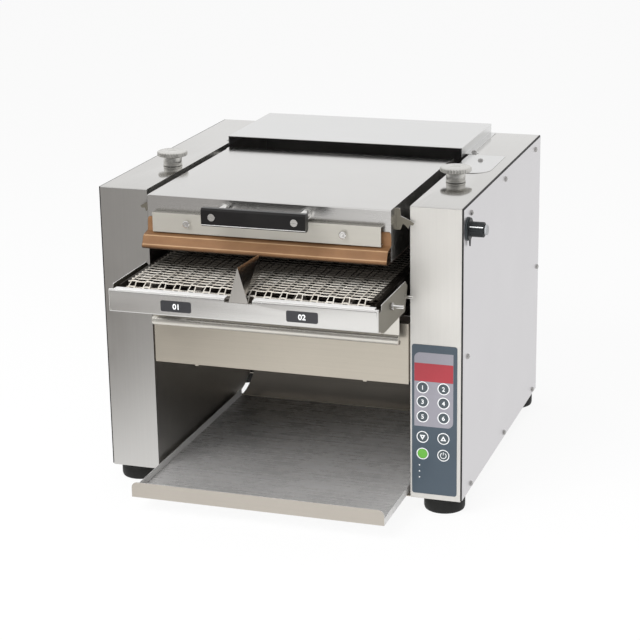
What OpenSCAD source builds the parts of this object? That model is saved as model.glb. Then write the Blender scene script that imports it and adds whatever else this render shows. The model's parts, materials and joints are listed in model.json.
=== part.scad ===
// Contact bun toaster: two cabinets, hinged platen housing, mesh belt and landing tray.
// Millimetres, +Z up, front at -Y. Origin: middle of the whole box, on the bench.

/* [Cabinets] */
// width over the two side panels
body_w = 600; // [570:2:640]
// depth of the cabinets
body_d = 560; // [540:2:600]
// width of each cabinet
tower_w = 83.6; // [80:0.2:90]
// thickness of the cabinet sheet
sheet_t = 1.2; // [1:0.1:1.5]
// seam between cabinet front and side panel
seam_w = 2.4; // [1.6:0.2:4]
// height of the feet
foot_h = 25.4; // [18:0.2:40]
// radius of the feet
foot_r = 33; // [24:0.5:36]
// height of the cabinet tops below the platen housing top
top_step = 2; // [0:0.5:6]

/* [Conveyor] */
// height of the belt top above the bench
belt_z = 391; // [380:1:410]
// belt thickness
belt_t = 3; // [2:0.2:4]
// radius of the belt turn, inside
turn_r = 18.5; // [16:0.5:20]
// distance of the belt edge from the cabinet wall
belt_side = 21.4; // [19:0.2:30]
// front belt turn axis ahead of the cabinet fronts
idler_out = 127; // [122:1:129]
// belt gap to rollers and guides
belt_gap = 0.3; // [0.2:0.05:0.6]
// running clearance on shafts, radial
run_gap = 0.05; // [0.02:0.01:0.1]
// radius of the drive shaft
drive_r = 6.35; // [5:0.05:7]
// radius of the fixed idler shaft
idler_r = 5; // [4:0.1:6]
// height of the conveyor side plates
side_h = 45; // [40:1:48]

/* [Feed shelf] */
// front of the feed shelf ahead of the cabinet fronts
shelf_out = 167; // [160:1:180]
// height of the shelf front plate
shelf_h = 35.5; // [30:0.5:38]
// top of the shelf lip below the belt top
shelf_drop = 7; // [5:0.5:10]
// height of the lane divider over the belt
fin_h = 42; // [20:1:50]
// half width of the divider front
fin_hw = 15.5; // [10:0.5:20]

/* [Platen housing] */
// gap between belt and release sheet
mouth_h = 30.2; // [26:0.2:36]
// height of the platen housing
hous_h = 81; // [70:1:90]
// gap beside the housing
hous_gap = 18.4; // [16:0.2:22]
// housing front ahead of the cabinet fronts
hous_out = 41; // [35:1:50]
// thickness of the platen casting
platen_t = 18; // [14:0.5:22]
// thickness of the release sheet
film_t = 0.6; // [0.4:0.05:0.8]
// radius of the hinge shaft
hinge_r = 5; // [4:0.1:6]
// half length of the handle grip
grip_hl = 83.5; // [76:0.5:92]
// distance of the handle posts from the grip ends
post_in = 17.5; // [12:0.5:24]

/* [Height adjusters] */
// distance of the adjuster axis behind the cabinet fronts
lift_y = 173; // [165:1:200]
// radius of the knurled knob
knob_r = 25.2; // [22:0.1:27]
// radius of the lead screw
screw_r = 6; // [5:0.1:7]
// length of the lead screw below the cabinet top
screw_l = 106; // [100:1:115]

/* [Trays and chute] */
// gap between the trays and the cabinet walls
tray_gap = 6.4; // [4:0.2:9]
// landing tray ahead of the cabinet fronts
tray_out = 126; // [100:1:150]
// height of the landing tray lip
tray_lip = 25.6; // [18:0.2:30]
// radius of the chute curve
chute_r = 109; // [100:1:112]
// bottom of the lower front panel above the bench
open_z = 214.3; // [190:0.5:230]
// crumb tray front ahead of the cabinet fronts
crumb_out = 22; // [16:1:28]

/* [Controls] */
// width of the keypad
pad_w = 72.5; // [70:0.5:74]
// height of the keypad
pad_h = 248; // [244:1:256]
// radius of a key
key_r = 7.9; // [7:0.1:8.5]
// key travel
key_travel = 0.4; // [0.3:0.05:0.5]
// radius of the selector knob
dial_r = 11.7; // [10:0.1:13]
// length of the selector knob
dial_l = 28.5; // [24:0.5:32]

/* [Hidden] */
$fn = 48;
t = sheet_t;
half_w = body_w / 2;
inner_x = half_w - tower_w;
face_x = half_w - 2.6;
pan_z = foot_h + t;
back_y = body_d - t;
belt_hw = inner_x - belt_side;
belt_in = turn_r;
belt_ro = turn_r + belt_t;
axis_z = belt_z - belt_ro;
idler_y = -idler_out;
drive_y = body_d - 120;
crumb_y1 = drive_y - 10;
side_x0 = belt_hw + 8;
side_x1 = side_x0 + 2;
side_z1 = belt_z - 5;
side_z0 = side_z1 - side_h;
shelf_x1 = inner_x - 1.9;
shelf_x0 = shelf_x1 - t;
shelf_z1 = belt_z - shelf_drop;
shelf_z0 = shelf_z1 - shelf_h;
lane_x = -3;
label_dx = shelf_x1 - 114;
flange_z1 = belt_z - 3.5;
flange_z0 = flange_z1 - 47;
stud_y = -24;
stud_z = axis_z - 5.5;
bolt_y = -102;
bolt_z = axis_z + 2.5;
film_z1 = belt_z + mouth_h + film_t;
hous_z0 = film_z1 + 0.2;
hous_z1 = hous_z0 + hous_h;
hous_x = inner_x - hous_gap;
hous_y0 = -hous_out;
fin_y1 = hous_y0 - 29;
hinge_y = body_d - 220;
hinge_z = hous_z1 - 19;
hous_y1 = hinge_y - 20;
body_top = hous_z1 - top_step;
cover_y0 = hinge_y + 7;
cover_z1 = body_top + 16;
cover_x = inner_x - 6.4;
platen_z1 = hous_z0 + platen_t;
stay_x = hous_x - 78;
bar_x = hous_x - 12.5;
bar_z0 = hous_z0 + 26;
bar_z1 = bar_z0 + 31;
bar_y0 = hous_y0 - 12;
bar_screw_x = bar_x - 58.5;
post_x = grip_hl - post_in;
bar_screw_z = bar_z0 + 16;
post_z = hous_z1 - 12.5;
grip_y1 = hous_y0 - 49;
grip_y0 = grip_y1 - 14;
grip_z1 = hous_z1 + 0.5;
grip_z0 = grip_z1 - 28;
lift_x = inner_x + 27;
pin_r = 4;
pin_z = hous_z0 + 28.3;
arm_top = pin_z - pin_r - 0.3;
tray_x = inner_x - tray_gap;
tray_z0 = pan_z + 0.3;
tray_y1 = body_d - 188;
arc_y = tray_y1 + 3;
arc_z = pan_z + 0.4 + chute_r + t;
chute_top = axis_z - belt_ro - 8;
chute_back = body_d - 37;
crumb_x = inner_x - 11.4;
crumb_z0 = belt_z - 69;
rail_z1 = crumb_z0 - 0.3;
low_z1 = crumb_z0 - 9;
pad_x = (inner_x + face_x) / 2 - 1.6;
pad_z0 = foot_h + 8.6;
key_x = pad_x - 2.1;
show_x = pad_x - 1.1;
key_dx = 16.85;
key_rows = [178, 154.5, 129.8, 95.7, 67.6];
dial_y = 27;
dial_z = body_top - 37;
dial_end = half_w + 2.3 + dial_l;
head_h = 3.1;
org_x = (dial_end - half_w - head_h) / 2;
org_y = (body_d + 15 - shelf_out - 0.8) / 2;
side_top = body_top - 17;
plate_r = 33.3;
plate_x = inner_x + 30;
plate_y = cover_y0 - 79.5;
ear_x = inner_x + 4.8;
ear_y = cover_y0 + 41;
vent_n = 6;
roller_dx = (belt_hw - 35) / 2;
roller_x = [for (k = [-2 : 2]) k * roller_dx];

module bx(x0, y0, z0, x1, y1, z1)
  translate([x0, y0, z0]) cube([x1 - x0, y1 - y0, z1 - z0]);
module cx(x0, x1, y, z, r)
  translate([x0, y, z]) rotate([0, 90, 0]) cylinder(r = r, h = x1 - x0);
module cy(y0, y1, x, z, r)
  translate([x, y0, z]) rotate([-90, 0, 0]) cylinder(r = r, h = y1 - y0);
module cz(z0, z1, x, y, r)
  translate([x, y, z0]) cylinder(r = r, h = z1 - z0);
module both() {
  children();
  mirror([1, 0, 0]) children();
}
module yz(x0, x1)
  translate([x0, 0, 0]) rotate([90, 0, 90]) linear_extrude(x1 - x0) children();
module xz(y0, y1)
  translate([0, y1, 0]) rotate([90, 0, 0]) linear_extrude(y1 - y0) children();
module round_rect(w, h, r) {
  translate([-w / 2 + r, -h / 2]) square([w - 2 * r, h]);
  translate([-w / 2, -h / 2 + r]) square([w, h - 2 * r]);
  for (sx = [-1, 1])
    for (sy = [-1, 1])
      translate([sx * (w / 2 - r), sy * (h / 2 - r)]) circle(r = r);
}
module stadium(r, l) {
  circle(r = r);
  translate([0, -r]) square([l, 2 * r]);
  translate([l, 0]) circle(r = r);
}
module gear2d(n, r0, r1, w) {
  circle(r = r0);
  for (i = [0 : n - 1])
    rotate(i * 360 / n)
      polygon([[r0 - 1, -w], [r1, -w * 0.45], [r1, w * 0.45], [r0 - 1, w]]);
}

// screw places on a side panel, [y, z]
function panel_spots() = [
  [48, side_top], [282, side_top], [body_d - 43, side_top],
  [32, 258], [body_d - 14, 263],
  [59, foot_h + 9.4], [297, foot_h + 9.4], [body_d - 33, foot_h + 9.4]];

module cabinet_blank() {
  bx(inner_x, 0, foot_h, face_x, t, body_top);
  bx(inner_x, 0, body_top - t, face_x, back_y, body_top);
  difference() {
    bx(inner_x, 0, pan_z, inner_x + t, back_y, body_top);
    difference() {
      bx(inner_x - 1, arc_y, pan_z - 1, inner_x + 3, back_y - 20, arc_z);
      cx(inner_x - 2, inner_x + 4, arc_y, arc_z, chute_r - 2);
    }
    cx(inner_x - 1, inner_x + 3, hinge_y, hinge_z, hinge_r + run_gap);
    bx(inner_x - 1, lift_y - 9, arm_top - 20, inner_x + 3, lift_y + 9, arm_top + 3);
  }
  bx(face_x - t, 0, pan_z + 20, face_x, 40, body_top);
  bx(face_x - t, 0, body_top - 30, face_x, back_y, body_top);
  bx(face_x - t, back_y - 30, pan_z + 20, face_x, back_y, body_top);
  bx(face_x - 26, back_y - t, pan_z + 20, face_x, back_y, body_top);
  bx(inner_x - 16, 16, rail_z1 - t, inner_x + t, crumb_y1, rail_z1);
}
module cabinet_holes() {
  for (p = panel_spots())
    cx(face_x - 4, face_x + 4, p[0], p[1], 2.4);
  for (z = [80, 270, body_top - 20])
    cy(back_y - 4, back_y + 4, face_x - 13, z, 2.4);
  cz(body_top - 4, body_top + 4, lift_x, lift_y, screw_r + run_gap);
  cz(body_top - 4, body_top + 4, ear_x, ear_y, 2.4);
}
module left_cabinet() color("silver") mirror([1, 0, 0]) difference() {
  cabinet_blank();
  cabinet_holes();
  cx(inner_x - 1, inner_x + 3, drive_y, axis_z, drive_r + 1.6);
}
module right_cabinet() color("silver") difference() {
  cabinet_blank();
  cabinet_holes();
  for (k = [0 : 4])
    for (s = [-1, 1])
      cy(-1, 3, key_x + s * key_dx, pad_z0 + key_rows[k], 2.7);
  bx(show_x - 29, -1, pad_z0 + 189, show_x + 29, 3, pad_z0 + 217);
  cx(face_x - 4, face_x + 4, dial_y, dial_z, 6);
  cz(body_top - 4, body_top + 4, plate_x, plate_y + 61, 2.4);
}

module side_panel() difference() {
  union() {
    bx(half_w - t, seam_w, foot_h + 1.6, half_w, back_y, body_top - seam_w);
    bx(face_x, 0.8, foot_h + 1.6, half_w - t, back_y, body_top - 0.8);
  }
  bx(face_x - 1, 14, foot_h + 22, half_w - t, back_y - 14, body_top - 32);
  for (p = panel_spots())
    cx(face_x - 1, half_w + 1, p[0], p[1], 2.4);
}
module left_side_panel() color("silver") mirror([1, 0, 0]) side_panel();
module right_side_panel() color("silver") difference() {
  side_panel();
  cx(face_x - 1, half_w + 1, dial_y, dial_z, 6);
}

module hex_screw_x(y, z) {
  cx(face_x - 5, half_w + 1, y, z, 2.1);
  translate([half_w, y, z]) rotate([0, 90, 0]) {
    cylinder(r = 4.8, h = 0.9);
    cylinder(r = 4, h = head_h, $fn = 6);
  }
}
module hex_screw_z(x, y, z) {
  cz(z - 6, z + 1, x, y, 2.1);
  cz(z, z + 0.9, x, y, 4.8);
  translate([x, y, z]) cylinder(r = 4, h = head_h, $fn = 6);
}
module cabinet_screws() color("gainsboro") {
  both() {
    for (p = panel_spots())
      hex_screw_x(p[0], p[1]);
    hex_screw_z(ear_x, ear_y, body_top + t);
    cy(back_y - 5, body_d + t + 1, cover_x - 14, body_top - 20, 2.1);
    cy(body_d + t, body_d + t + 2.4, cover_x - 14, body_top - 20, 4.4);
    for (z = [80, 270, body_top - 20]) {
      cy(back_y - 6, body_d + 1, face_x - 13, z, 2.1);
      cy(body_d, body_d + 2.4, face_x - 13, z, 4.4);
    }
    translate([shelf_x1, bolt_y, bolt_z]) rotate([0, 90, 0]) difference() {
      cylinder(r = 5.8, h = 4.6, $fn = 6);
      translate([0, 0, -1]) cylinder(r = 3.05, h = 7);
    }
  }
  hex_screw_z(plate_x, plate_y + 61, body_top + 1);
}

module base_pan() color("gray") difference() {
  union() {
    bx(-face_x, t, foot_h, face_x, back_y, pan_z);
    both() bx(face_x - t, 1.5, foot_h, face_x, back_y - t, pan_z + 19.7);
  }
  both() {
    bx(tray_x + 1, 385, foot_h - 1, face_x - 14, 500, pan_z + 1);
    for (p = [panel_spots()[5], panel_spots()[6], panel_spots()[7]])
      cx(face_x - 4, face_x + 4, p[0], p[1], 2.4);
  }
}
module foot(x, y) translate([x, y, 0]) {
  cylinder(r1 = foot_r - 1.5, r2 = foot_r, h = 3);
  translate([0, 0, 3]) cylinder(r = foot_r, h = foot_h - 6);
  translate([0, 0, foot_h - 3]) cylinder(r1 = foot_r, r2 = foot_r - 2, h = 3);
}
module feet() color("black") both() {
  foot(half_w - 37, foot_r + 3);
  foot(half_w - 37, body_d - foot_r + 15);
}
module rear_panel() color("silver") difference() {
  bx(-half_w + 1, back_y, foot_h + 1.6, half_w - 1, body_d, body_top);
  both() {
    for (z = [80, 270, body_top - 20])
      cy(back_y - 1, body_d + 1, face_x - 13, z, 2.4);
    for (i = [0 : vent_n - 1])
      bx(inner_x + 12, back_y - 1, 340 + i * 14, face_x - 34, body_d + 1, 344 + i * 14);
  }
  both() cy(back_y - 1, body_d + 1, cover_x - 14, body_top - 20, 2.4);
  cy(back_y - 1, body_d + 1, inner_x + 34, 96, 8.2);
}

module rear_cover() color("silver") difference() {
  union() {
    bx(-cover_x, cover_y0, cover_z1 - t, cover_x, body_d + t, cover_z1);
    bx(-cover_x, body_d, body_top - 30, cover_x, body_d + t, cover_z1);
    both() {
      bx(cover_x - t, cover_y0, body_top, cover_x, body_d + t, cover_z1);
      bx(cover_x - t, cover_y0 + 26, body_top, inner_x + 3.6, body_d - 4, body_top + t);
      cz(body_top, body_top + t, ear_x, ear_y, 7.5);
    }
  }
  both() {
    cz(body_top - 1, body_top + 3, ear_x, ear_y, 2.4);
    cy(body_d - 1, body_d + 3, cover_x - 14, body_top - 20, 2.4);
  }
}
module top_access_plate() color("silver") difference() {
  intersection() {
    translate([plate_x, plate_y, body_top]) linear_extrude(1) {
      circle(r = plate_r);
      translate([-plate_r, 0]) square([2 * plate_r, cover_y0 + 22 - plate_y]);
    }
    bx(inner_x, 0, body_top - 1, half_w, body_d, body_top + 3);
  }
  cz(body_top - 1, body_top + 3, plate_x, plate_y + 61, 2.4);
}

module lower_front_panel() color("silver") {
  bx(-inner_x + 2.9, 0, open_z, inner_x - 2.9, t, low_z1);
  bx(-inner_x + 2.9, 0, low_z1 - t, inner_x - 2.9, 12, low_z1);
  bx(-inner_x + 2.9, 0, open_z, inner_x - 2.9, 9, open_z + t);
  both() {
    bx(inner_x - 2.9 - t, 0, open_z, inner_x - 2.9, 14, low_z1);
    bx(inner_x - 2.9 - t, 14 - t, open_z, inner_x, 14, low_z1);
    bx(139, 0, open_z - 2, 145, t, open_z + 1);
  }
}
function chute_pt(r, a) = [arc_y + r * sin(a), arc_z - r * cos(a)];
module discharge_chute() color("silver")
  yz(-tray_x, tray_x) polygon(concat(
    [for (a = [0 : 4 : 80]) chute_pt(chute_r, a)],
    [[chute_back, chute_top], [back_y, chute_top], [back_y, chute_top - 14],
      [back_y - t, chute_top - 14], [back_y - t, chute_top - t], [chute_back + t, chute_top - t]],
    [for (a = [80 : -4 : 0]) chute_pt(chute_r + t, a)]));
module landing_tray() color("silver") {
  bx(-tray_x, -tray_out, tray_z0, tray_x, tray_y1, tray_z0 + t);
  both() bx(tray_x - t, -tray_out + 8, tray_z0, tray_x, tray_y1, tray_z0 + 12.6);
  difference() {
    bx(-tray_x, -tray_out, tray_z0, tray_x, -tray_out + t, tray_z0 + tray_lip);
    both() difference() {
      bx(tray_x - 10, -tray_out - 1, tray_z0 + tray_lip - 10,
        tray_x + 1, -tray_out + 3, tray_z0 + tray_lip + 1);
      cy(-tray_out - 2, -tray_out + 4, tray_x - 10, tray_z0 + tray_lip - 10, 10);
    }
  }
  both() bx(tray_x - t, -tray_out, tray_z0, tray_x, -tray_out + 9, tray_z0 + 12.6);
}
module crumb_tray() color("silver") {
  hem = 3.2;
  hem_z = crumb_z0 - 37 + hem;
  bx(-crumb_x, -crumb_out, hem_z, crumb_x, -crumb_out + t, crumb_z0 + 13);
  cx(-crumb_x, crumb_x, -crumb_out + hem, hem_z, hem);
  bx(-crumb_x + 2, -crumb_out, crumb_z0, crumb_x - 2, crumb_y1, crumb_z0 + t);
  both() bx(crumb_x - 2 - t, -crumb_out, crumb_z0, crumb_x - 2, crumb_y1, crumb_z0 + 10);
  bx(-crumb_x + 2, crumb_y1 - t, crumb_z0, crumb_x - 2, crumb_y1, crumb_z0 + 10);
}

module conveyor_side() difference() {
  union() {
    bx(side_x0, -143, side_z0, side_x1, body_d - 55, side_z1);
    bx(belt_hw + 0.5, -118, side_z1 - t, side_x0 + 1, body_d - 80, side_z1);
    bx(belt_hw - 5, idler_y - 5, side_z1 - t, belt_hw + 1, drive_y + 5, side_z1);
    for (y = [60, 260, body_d - 70])
      cx(side_x1 - 0.5, inner_x, y, side_z0 + 9, 7);
    cx(side_x1 - 0.5, shelf_x0, stud_y, stud_z, 5.5);
    cx(side_x1 - 0.5, inner_x + 10, stud_y, stud_z, 2.6);
    cx(side_x1 - 0.5, shelf_x0, bolt_y, bolt_z, 6.5);
    cx(side_x1 - 0.5, inner_x + 18, bolt_y, bolt_z, 3);
  }
  cx(side_x0 - 1, side_x1 + 1, idler_y, axis_z, idler_r + run_gap);
  cx(side_x0 - 1, side_x1 + 1, drive_y, axis_z, drive_r + 0.8);
}
module left_conveyor_side() color("silver") mirror([1, 0, 0]) conveyor_side();
module right_conveyor_side() color("silver") conveyor_side();

module feed_shelf() color("silver") difference() {
  union() {
    bx(-shelf_x1, -shelf_out, shelf_z0, shelf_x1, -shelf_out + t, shelf_z1);
    bx(-shelf_x1, -shelf_out, shelf_z1 - t, shelf_x1, -shelf_out + 17, shelf_z1);
    bx(-shelf_x1, -shelf_out, shelf_z0, shelf_x1, -shelf_out + 12, shelf_z0 + t);
    both() yz(shelf_x0, shelf_x1) polygon([
      [-shelf_out, shelf_z0], [-shelf_out + 12, shelf_z0],
      [-shelf_out + 19, flange_z0 + 3], [-shelf_out + 30, flange_z0],
      [-24, flange_z0], [-9, flange_z1 - 9.5], [-20, flange_z1],
      [-shelf_out + 20, flange_z1], [-shelf_out + 17, shelf_z1], [-shelf_out, shelf_z1]]);
  }
  bx(lane_x - 22, -shelf_out - 1, shelf_z1 - 6, lane_x + 22, -shelf_out + 18, shelf_z1 + 1);
  both() {
    cx(shelf_x0 - 1, shelf_x1 + 1, bolt_y, bolt_z, 3.3);
    bx(shelf_x0 - 6, -shelf_out + 5, shelf_z1 - 5, shelf_x1 + 1,
      -shelf_out + 18.5, shelf_z1 + 8);
    cx(shelf_x0 - 1, shelf_x1 + 1, stud_y, stud_z, 2.9);
  }
}
module shelf_labels() color("dimgray")
  for (x = [lane_x - label_dx, lane_x + label_dx])
    translate([x, 0, shelf_z0 + 16.3])
      xz(-shelf_out - 0.8, -shelf_out) round_rect(49.5, 17.3, 3);
module fin_shell(d) hull() {
  fy = -shelf_out + t + 0.1;
  z0 = shelf_z1 + 6;
  z1 = belt_z + fin_h;
  hw = fin_hw * (z1 - z0) / (z1 - shelf_z1 + 6);
  translate([lane_x, 0, 0]) xz(fy + d, fy + d + 0.1)
    polygon([[-hw + d, z0 - d * 2], [hw - d, z0 - d * 2], [0, z1 - d * 4]]);
  bx(lane_x - 0.8 + d * 0.6, fin_y1 - 1 - d, belt_z + 4 - d * 4,
    lane_x + 0.8 - d * 0.6, fin_y1 - d, belt_z + fin_h - 5 - d);
}
module lane_divider() color("silver") {
  fy = -shelf_out + t + 0.1;
  difference() {
    fin_shell(0);
    fin_shell(t);
  }
  translate([lane_x, 0, 0]) xz(fy, fy + t)
    polygon([[-fin_hw, shelf_z1 - 6], [fin_hw, shelf_z1 - 6], [0, belt_z + fin_h]]);
  translate([lane_x - 11, fy, shelf_z1 - 26]) cube([22, t, 21]);
}

module idler_shaft() color("silver")
  cx(-shelf_x0, shelf_x0, idler_y, axis_z, idler_r);
module sprocket(x, bore) difference() {
  translate([x - 6, 0, 0]) rotate([90, 0, 90])
    linear_extrude(12) gear2d(14, belt_in - 3.4, belt_in - belt_gap, 2.2);
  cx(x - 8, x + 8, 0, 0, bore);
}
module idler_rollers() color("dimgray") translate([0, idler_y, axis_z])
  for (x = roller_x)
    sprocket(x, idler_r + run_gap);
module drive_shaft() color("silver") translate([0, drive_y, axis_z]) {
  cx(-inner_x - 64, side_x1 + 3, 0, 0, drive_r);
  translate([-inner_x - 56, 0, 0]) rotate([90, 0, 90])
    linear_extrude(4) gear2d(16, 17, 20, 1.8);
}
module belt_sprockets() color("dimgray") translate([0, drive_y, axis_z])
  for (x = roller_x)
    sprocket(x, drive_r + 0.02);
module drive_bearings() color("dimgray") both() difference() {
  cx(side_x0 - 6, side_x0, drive_y, axis_z, 14);
  cx(side_x0 - 7, side_x0 + 1, drive_y, axis_z, drive_r + run_gap);
}
motor_z = 235;
module motor_sprocket() color("silver") translate([0, drive_y, motor_z]) {
  cx(-inner_x - 60, -inner_x - 30, 0, 0, 5);
  translate([-inner_x - 56, 0, 0]) rotate([90, 0, 90])
    linear_extrude(4) gear2d(16, 17, 20, 1.8);
}
module gearmotor() color("dimgray") difference() {
  union() {
    bx(-inner_x - 45, drive_y - 35, motor_z - 40, -inner_x - t, drive_y + 35, motor_z + 40);
    cy(drive_y - 140, drive_y - 34, -inner_x - 31, motor_z, 28);
  }
  cx(-inner_x - 46, -inner_x - 29, drive_y, motor_z, 5 + run_gap);
}
module drive_chain() color("gray") translate([-inner_x - 57, drive_y, motor_z])
  rotate([90, 0, 90]) linear_extrude(6) difference() {
    rotate(90) stadium(26, axis_z - motor_z);
    rotate(90) stadium(20.4, axis_z - motor_z);
  }

module conveyor_belt() color("lightgray") difference() {
  run_l = drive_y - idler_y;
  yz(-belt_hw, belt_hw) translate([idler_y, axis_z]) difference() {
    stadium(belt_ro, run_l);
    stadium(belt_in, run_l);
  }
  nx = 12;
  ny = 10;
  px = (2 * belt_hw - 13) / nx;
  py = (run_l - 20) / ny;
  for (i = [0 : nx - 1])
    bx(-belt_hw + 9.5 + i * px, idler_y - 40, axis_z - 9,
      -belt_hw + 3.5 + (i + 1) * px, idler_y - 10, axis_z + 9);
  for (i = [0 : nx - 1])
    for (j = [0 : ny - 1])
      bx(-belt_hw + 9.5 + i * px, idler_y + 14 + j * py, axis_z - 40,
        -belt_hw + 3.5 + (i + 1) * px, idler_y + 6 + (j + 1) * py, axis_z + 40);
}
module lower_platen() color("gray") {
  z1 = belt_z - belt_t - belt_gap;
  bx(-belt_hw + 7, 20, z1 - 14, belt_hw - 7, hinge_y - 10, z1);
  both()
    for (y = [60, hinge_y - 70])
      bx(belt_hw - 8, y, z1 - 12, side_x0, y + 20, z1 - 6);
}

module platen_housing() color("silver") difference() {
  union() {
    difference() {
      bx(-hous_x, hous_y0, hous_z0, hous_x, hous_y1, hous_z1);
      bx(-hous_x + t, hous_y0 + t, hous_z0 - 1, hous_x - t, hous_y1 - t, hous_z1 - t);
    }
    both() {
      bx(hous_x - t, hous_y1 - 12, hinge_z - 14, hous_x + 2, hinge_y, hinge_z + 14);
      bx(hous_x - t, hous_y1 - 12, hinge_z, hous_x + 2, hinge_y - 8, hous_z1);
      cx(hous_x - t, hous_x + 2, hinge_y, hinge_z, 14);
      cx(hous_x - t, inner_x - 3, lift_y, pin_z, pin_r);
      xz(-8, -6.5) translate([hous_x, hous_z1]) polygon([
        [-0.5, -4.5], [5, -4.5], [6, -16.5], [18.5, -22], [27, -27], [25, -30.2],
        [19.5, -30], [17.5, -36], [13, -31], [9, -28.5], [5.5, -38], [-0.5, -38.5]]);
    }
  }
  both() {
    cx(hous_x - 9, hous_x + 9, hinge_y, hinge_z, hinge_r + run_gap);
    cy(hous_y0 - 1, hous_y0 + 3, bar_screw_x, bar_screw_z, 2.8);
    cy(hous_y0 - 1, hous_y0 + 3, post_x, post_z, 3.3);
  }
}
module upper_platen() color("gray") {
  bx(-hous_x + 5, hous_y0 + 8, hous_z0, hous_x - 5, hous_y1 - 8, platen_z1);
  for (x = [-stay_x, stay_x])
    for (y = [hous_y0 + 81, hous_y1 - 60])
      cz(platen_z1 - 1, hous_z1 - t, x, y, 5);
}
module platen_insulation() color("lightyellow") difference() {
  bx(-hous_x + 7, hous_y0 + 10, platen_z1, hous_x - 7, hous_y1 - 10, hous_z1 - 26);
  for (x = [-stay_x, stay_x])
    for (y = [hous_y0 + 81, hous_y1 - 60])
      cz(platen_z1 - 1, hous_z1, x, y, 5.6);
}
module film_leg(a, b) {
  d = b - a;
  translate(a) rotate(atan2(d[1], d[0]))
    translate([0, -film_t / 2]) square([norm(d), film_t]);
  translate(b) circle(r = film_t / 2, $fn = 16);
}
module release_sheet() color("tan") difference() {
  h = film_t / 2;
  pts = [[hous_y0 - h, bar_z1 - 9], [hous_y0 - h, bar_z0 + 0.5],
    [hous_y0 - 17, bar_z0 - 3.4], [hous_y0 - 20.5, bar_z0 - 5.4],
    [hous_y0 - 27.4, hous_z0 + 8.4], [hous_y0 - 27.2, hous_z0 + 5.2],
    [hous_y0 - 25, hous_z0 + 2.8], [hous_y0 - 20, hous_z0 + 1.4],
    [hous_y0 - 2, hous_z0 - 0.2 - h], [hous_y1 - 20, hous_z0 - 0.2 - h]];
  yz(-hous_x - 1.5, hous_x + 1.5)
    for (i = [0 : len(pts) - 2])
      film_leg(pts[i], pts[i + 1]);
  both() cy(hous_y0 - 3, hous_y0 + 1, bar_screw_x, bar_screw_z, 2.9);
}
module clamp_bar() color("silver") difference() {
  union() {
    bx(-bar_x, bar_y0, bar_z0, bar_x, bar_y0 + 1.5, bar_z1);
    bx(-bar_x, bar_y0, bar_z1 - 1.5, bar_x, hous_y0 - film_t, bar_z1);
    bx(-bar_x, bar_y0, bar_z0 + 0.9, bar_x, hous_y0 - film_t, bar_z0 + 2.4);
  }
  both() cy(bar_y0 - 1, bar_y0 + 3, bar_screw_x, bar_screw_z, 2.8);
}
module clamp_screws() color("gainsboro") both() {
  cy(bar_y0 - 1, hous_y0 + 6, bar_screw_x, bar_screw_z, 2.5);
  cy(bar_y0 - 7, bar_y0, bar_screw_x, bar_screw_z, 6);
}
module handle_grip() color("black") difference() {
  c = 3;
  yz(-grip_hl, grip_hl) polygon([[grip_y0 + c, grip_z0], [grip_y1 - c, grip_z0],
    [grip_y1, grip_z0 + c], [grip_y1, grip_z1 - c], [grip_y1 - c, grip_z1],
    [grip_y0 + c, grip_z1], [grip_y0, grip_z1 - c], [grip_y0, grip_z0 + c]]);
  both() cy(grip_y0 - 1, grip_y1 + 1, post_x, post_z, 3.4);
}
module handle_posts() color("silver") both() difference() {
  union() {
    cy(grip_y1, hous_y0 - 5, post_x, post_z, 7);
    cy(hous_y0 - 6, hous_y0, post_x, post_z, 9);
    cy(hous_y0 - 1, hous_y0 + 6, post_x, post_z, 3);
  }
  cy(grip_y1 - 1, grip_y1 + 15, post_x, post_z, 3.2);
}
module handle_screws() color("gainsboro") both() difference() {
  union() {
    cy(grip_y0 - 1, grip_y1 + 13, post_x, post_z, 3);
    cy(grip_y0 - 2.4, grip_y0, post_x, post_z, 5.7);
  }
  bx(post_x - 7, grip_y0 - 3, post_z - 0.7, post_x + 7, grip_y0 - 1.2, post_z + 0.7);
}
module hinge_shaft() color("silver")
  cx(-inner_x - 8, inner_x + 8, hinge_y, hinge_z, hinge_r);

module lift_block() color("dimgray") difference() {
  union() {
    bx(inner_x + 9, lift_y - 18, arm_top - 28, lift_x + 18, lift_y + 18, arm_top + 2);
    bx(inner_x - 12, lift_y - 6, arm_top - 10, inner_x + 10, lift_y + 6, arm_top);
  }
  cz(arm_top - 30, arm_top + 4, lift_x, lift_y, screw_r + run_gap);
}
module left_lift_block() mirror([1, 0, 0]) lift_block();
module right_lift_block() lift_block();
module knob() color("silver") translate([lift_x, lift_y, body_top]) {
  translate([0, 0, -screw_l]) cylinder(r = screw_r, h = screw_l + 1);
  translate([0, 0, -t - 4]) cylinder(r = 10, h = 3.7);
  translate([0, 0, 0.3]) cylinder(r = 16, h = 3.4);
  translate([0, 0, 3]) cylinder(r = 14.4, h = 1.6);
  translate([0, 0, 4.4]) cylinder(r = 15.4, h = 10);
  translate([0, 0, 14]) cylinder(r1 = 15.4, r2 = knob_r - 3, h = 3);
  translate([0, 0, 16.6]) linear_extrude(8) {
    circle(r = knob_r - 0.8);
    for (i = [0 : 23])
      rotate(i * 15) translate([knob_r - 1.6, -1.6]) square([1.6, 3.2]);
  }
}
module left_knob() mirror([1, 0, 0]) knob();
module right_knob() knob();

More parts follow.
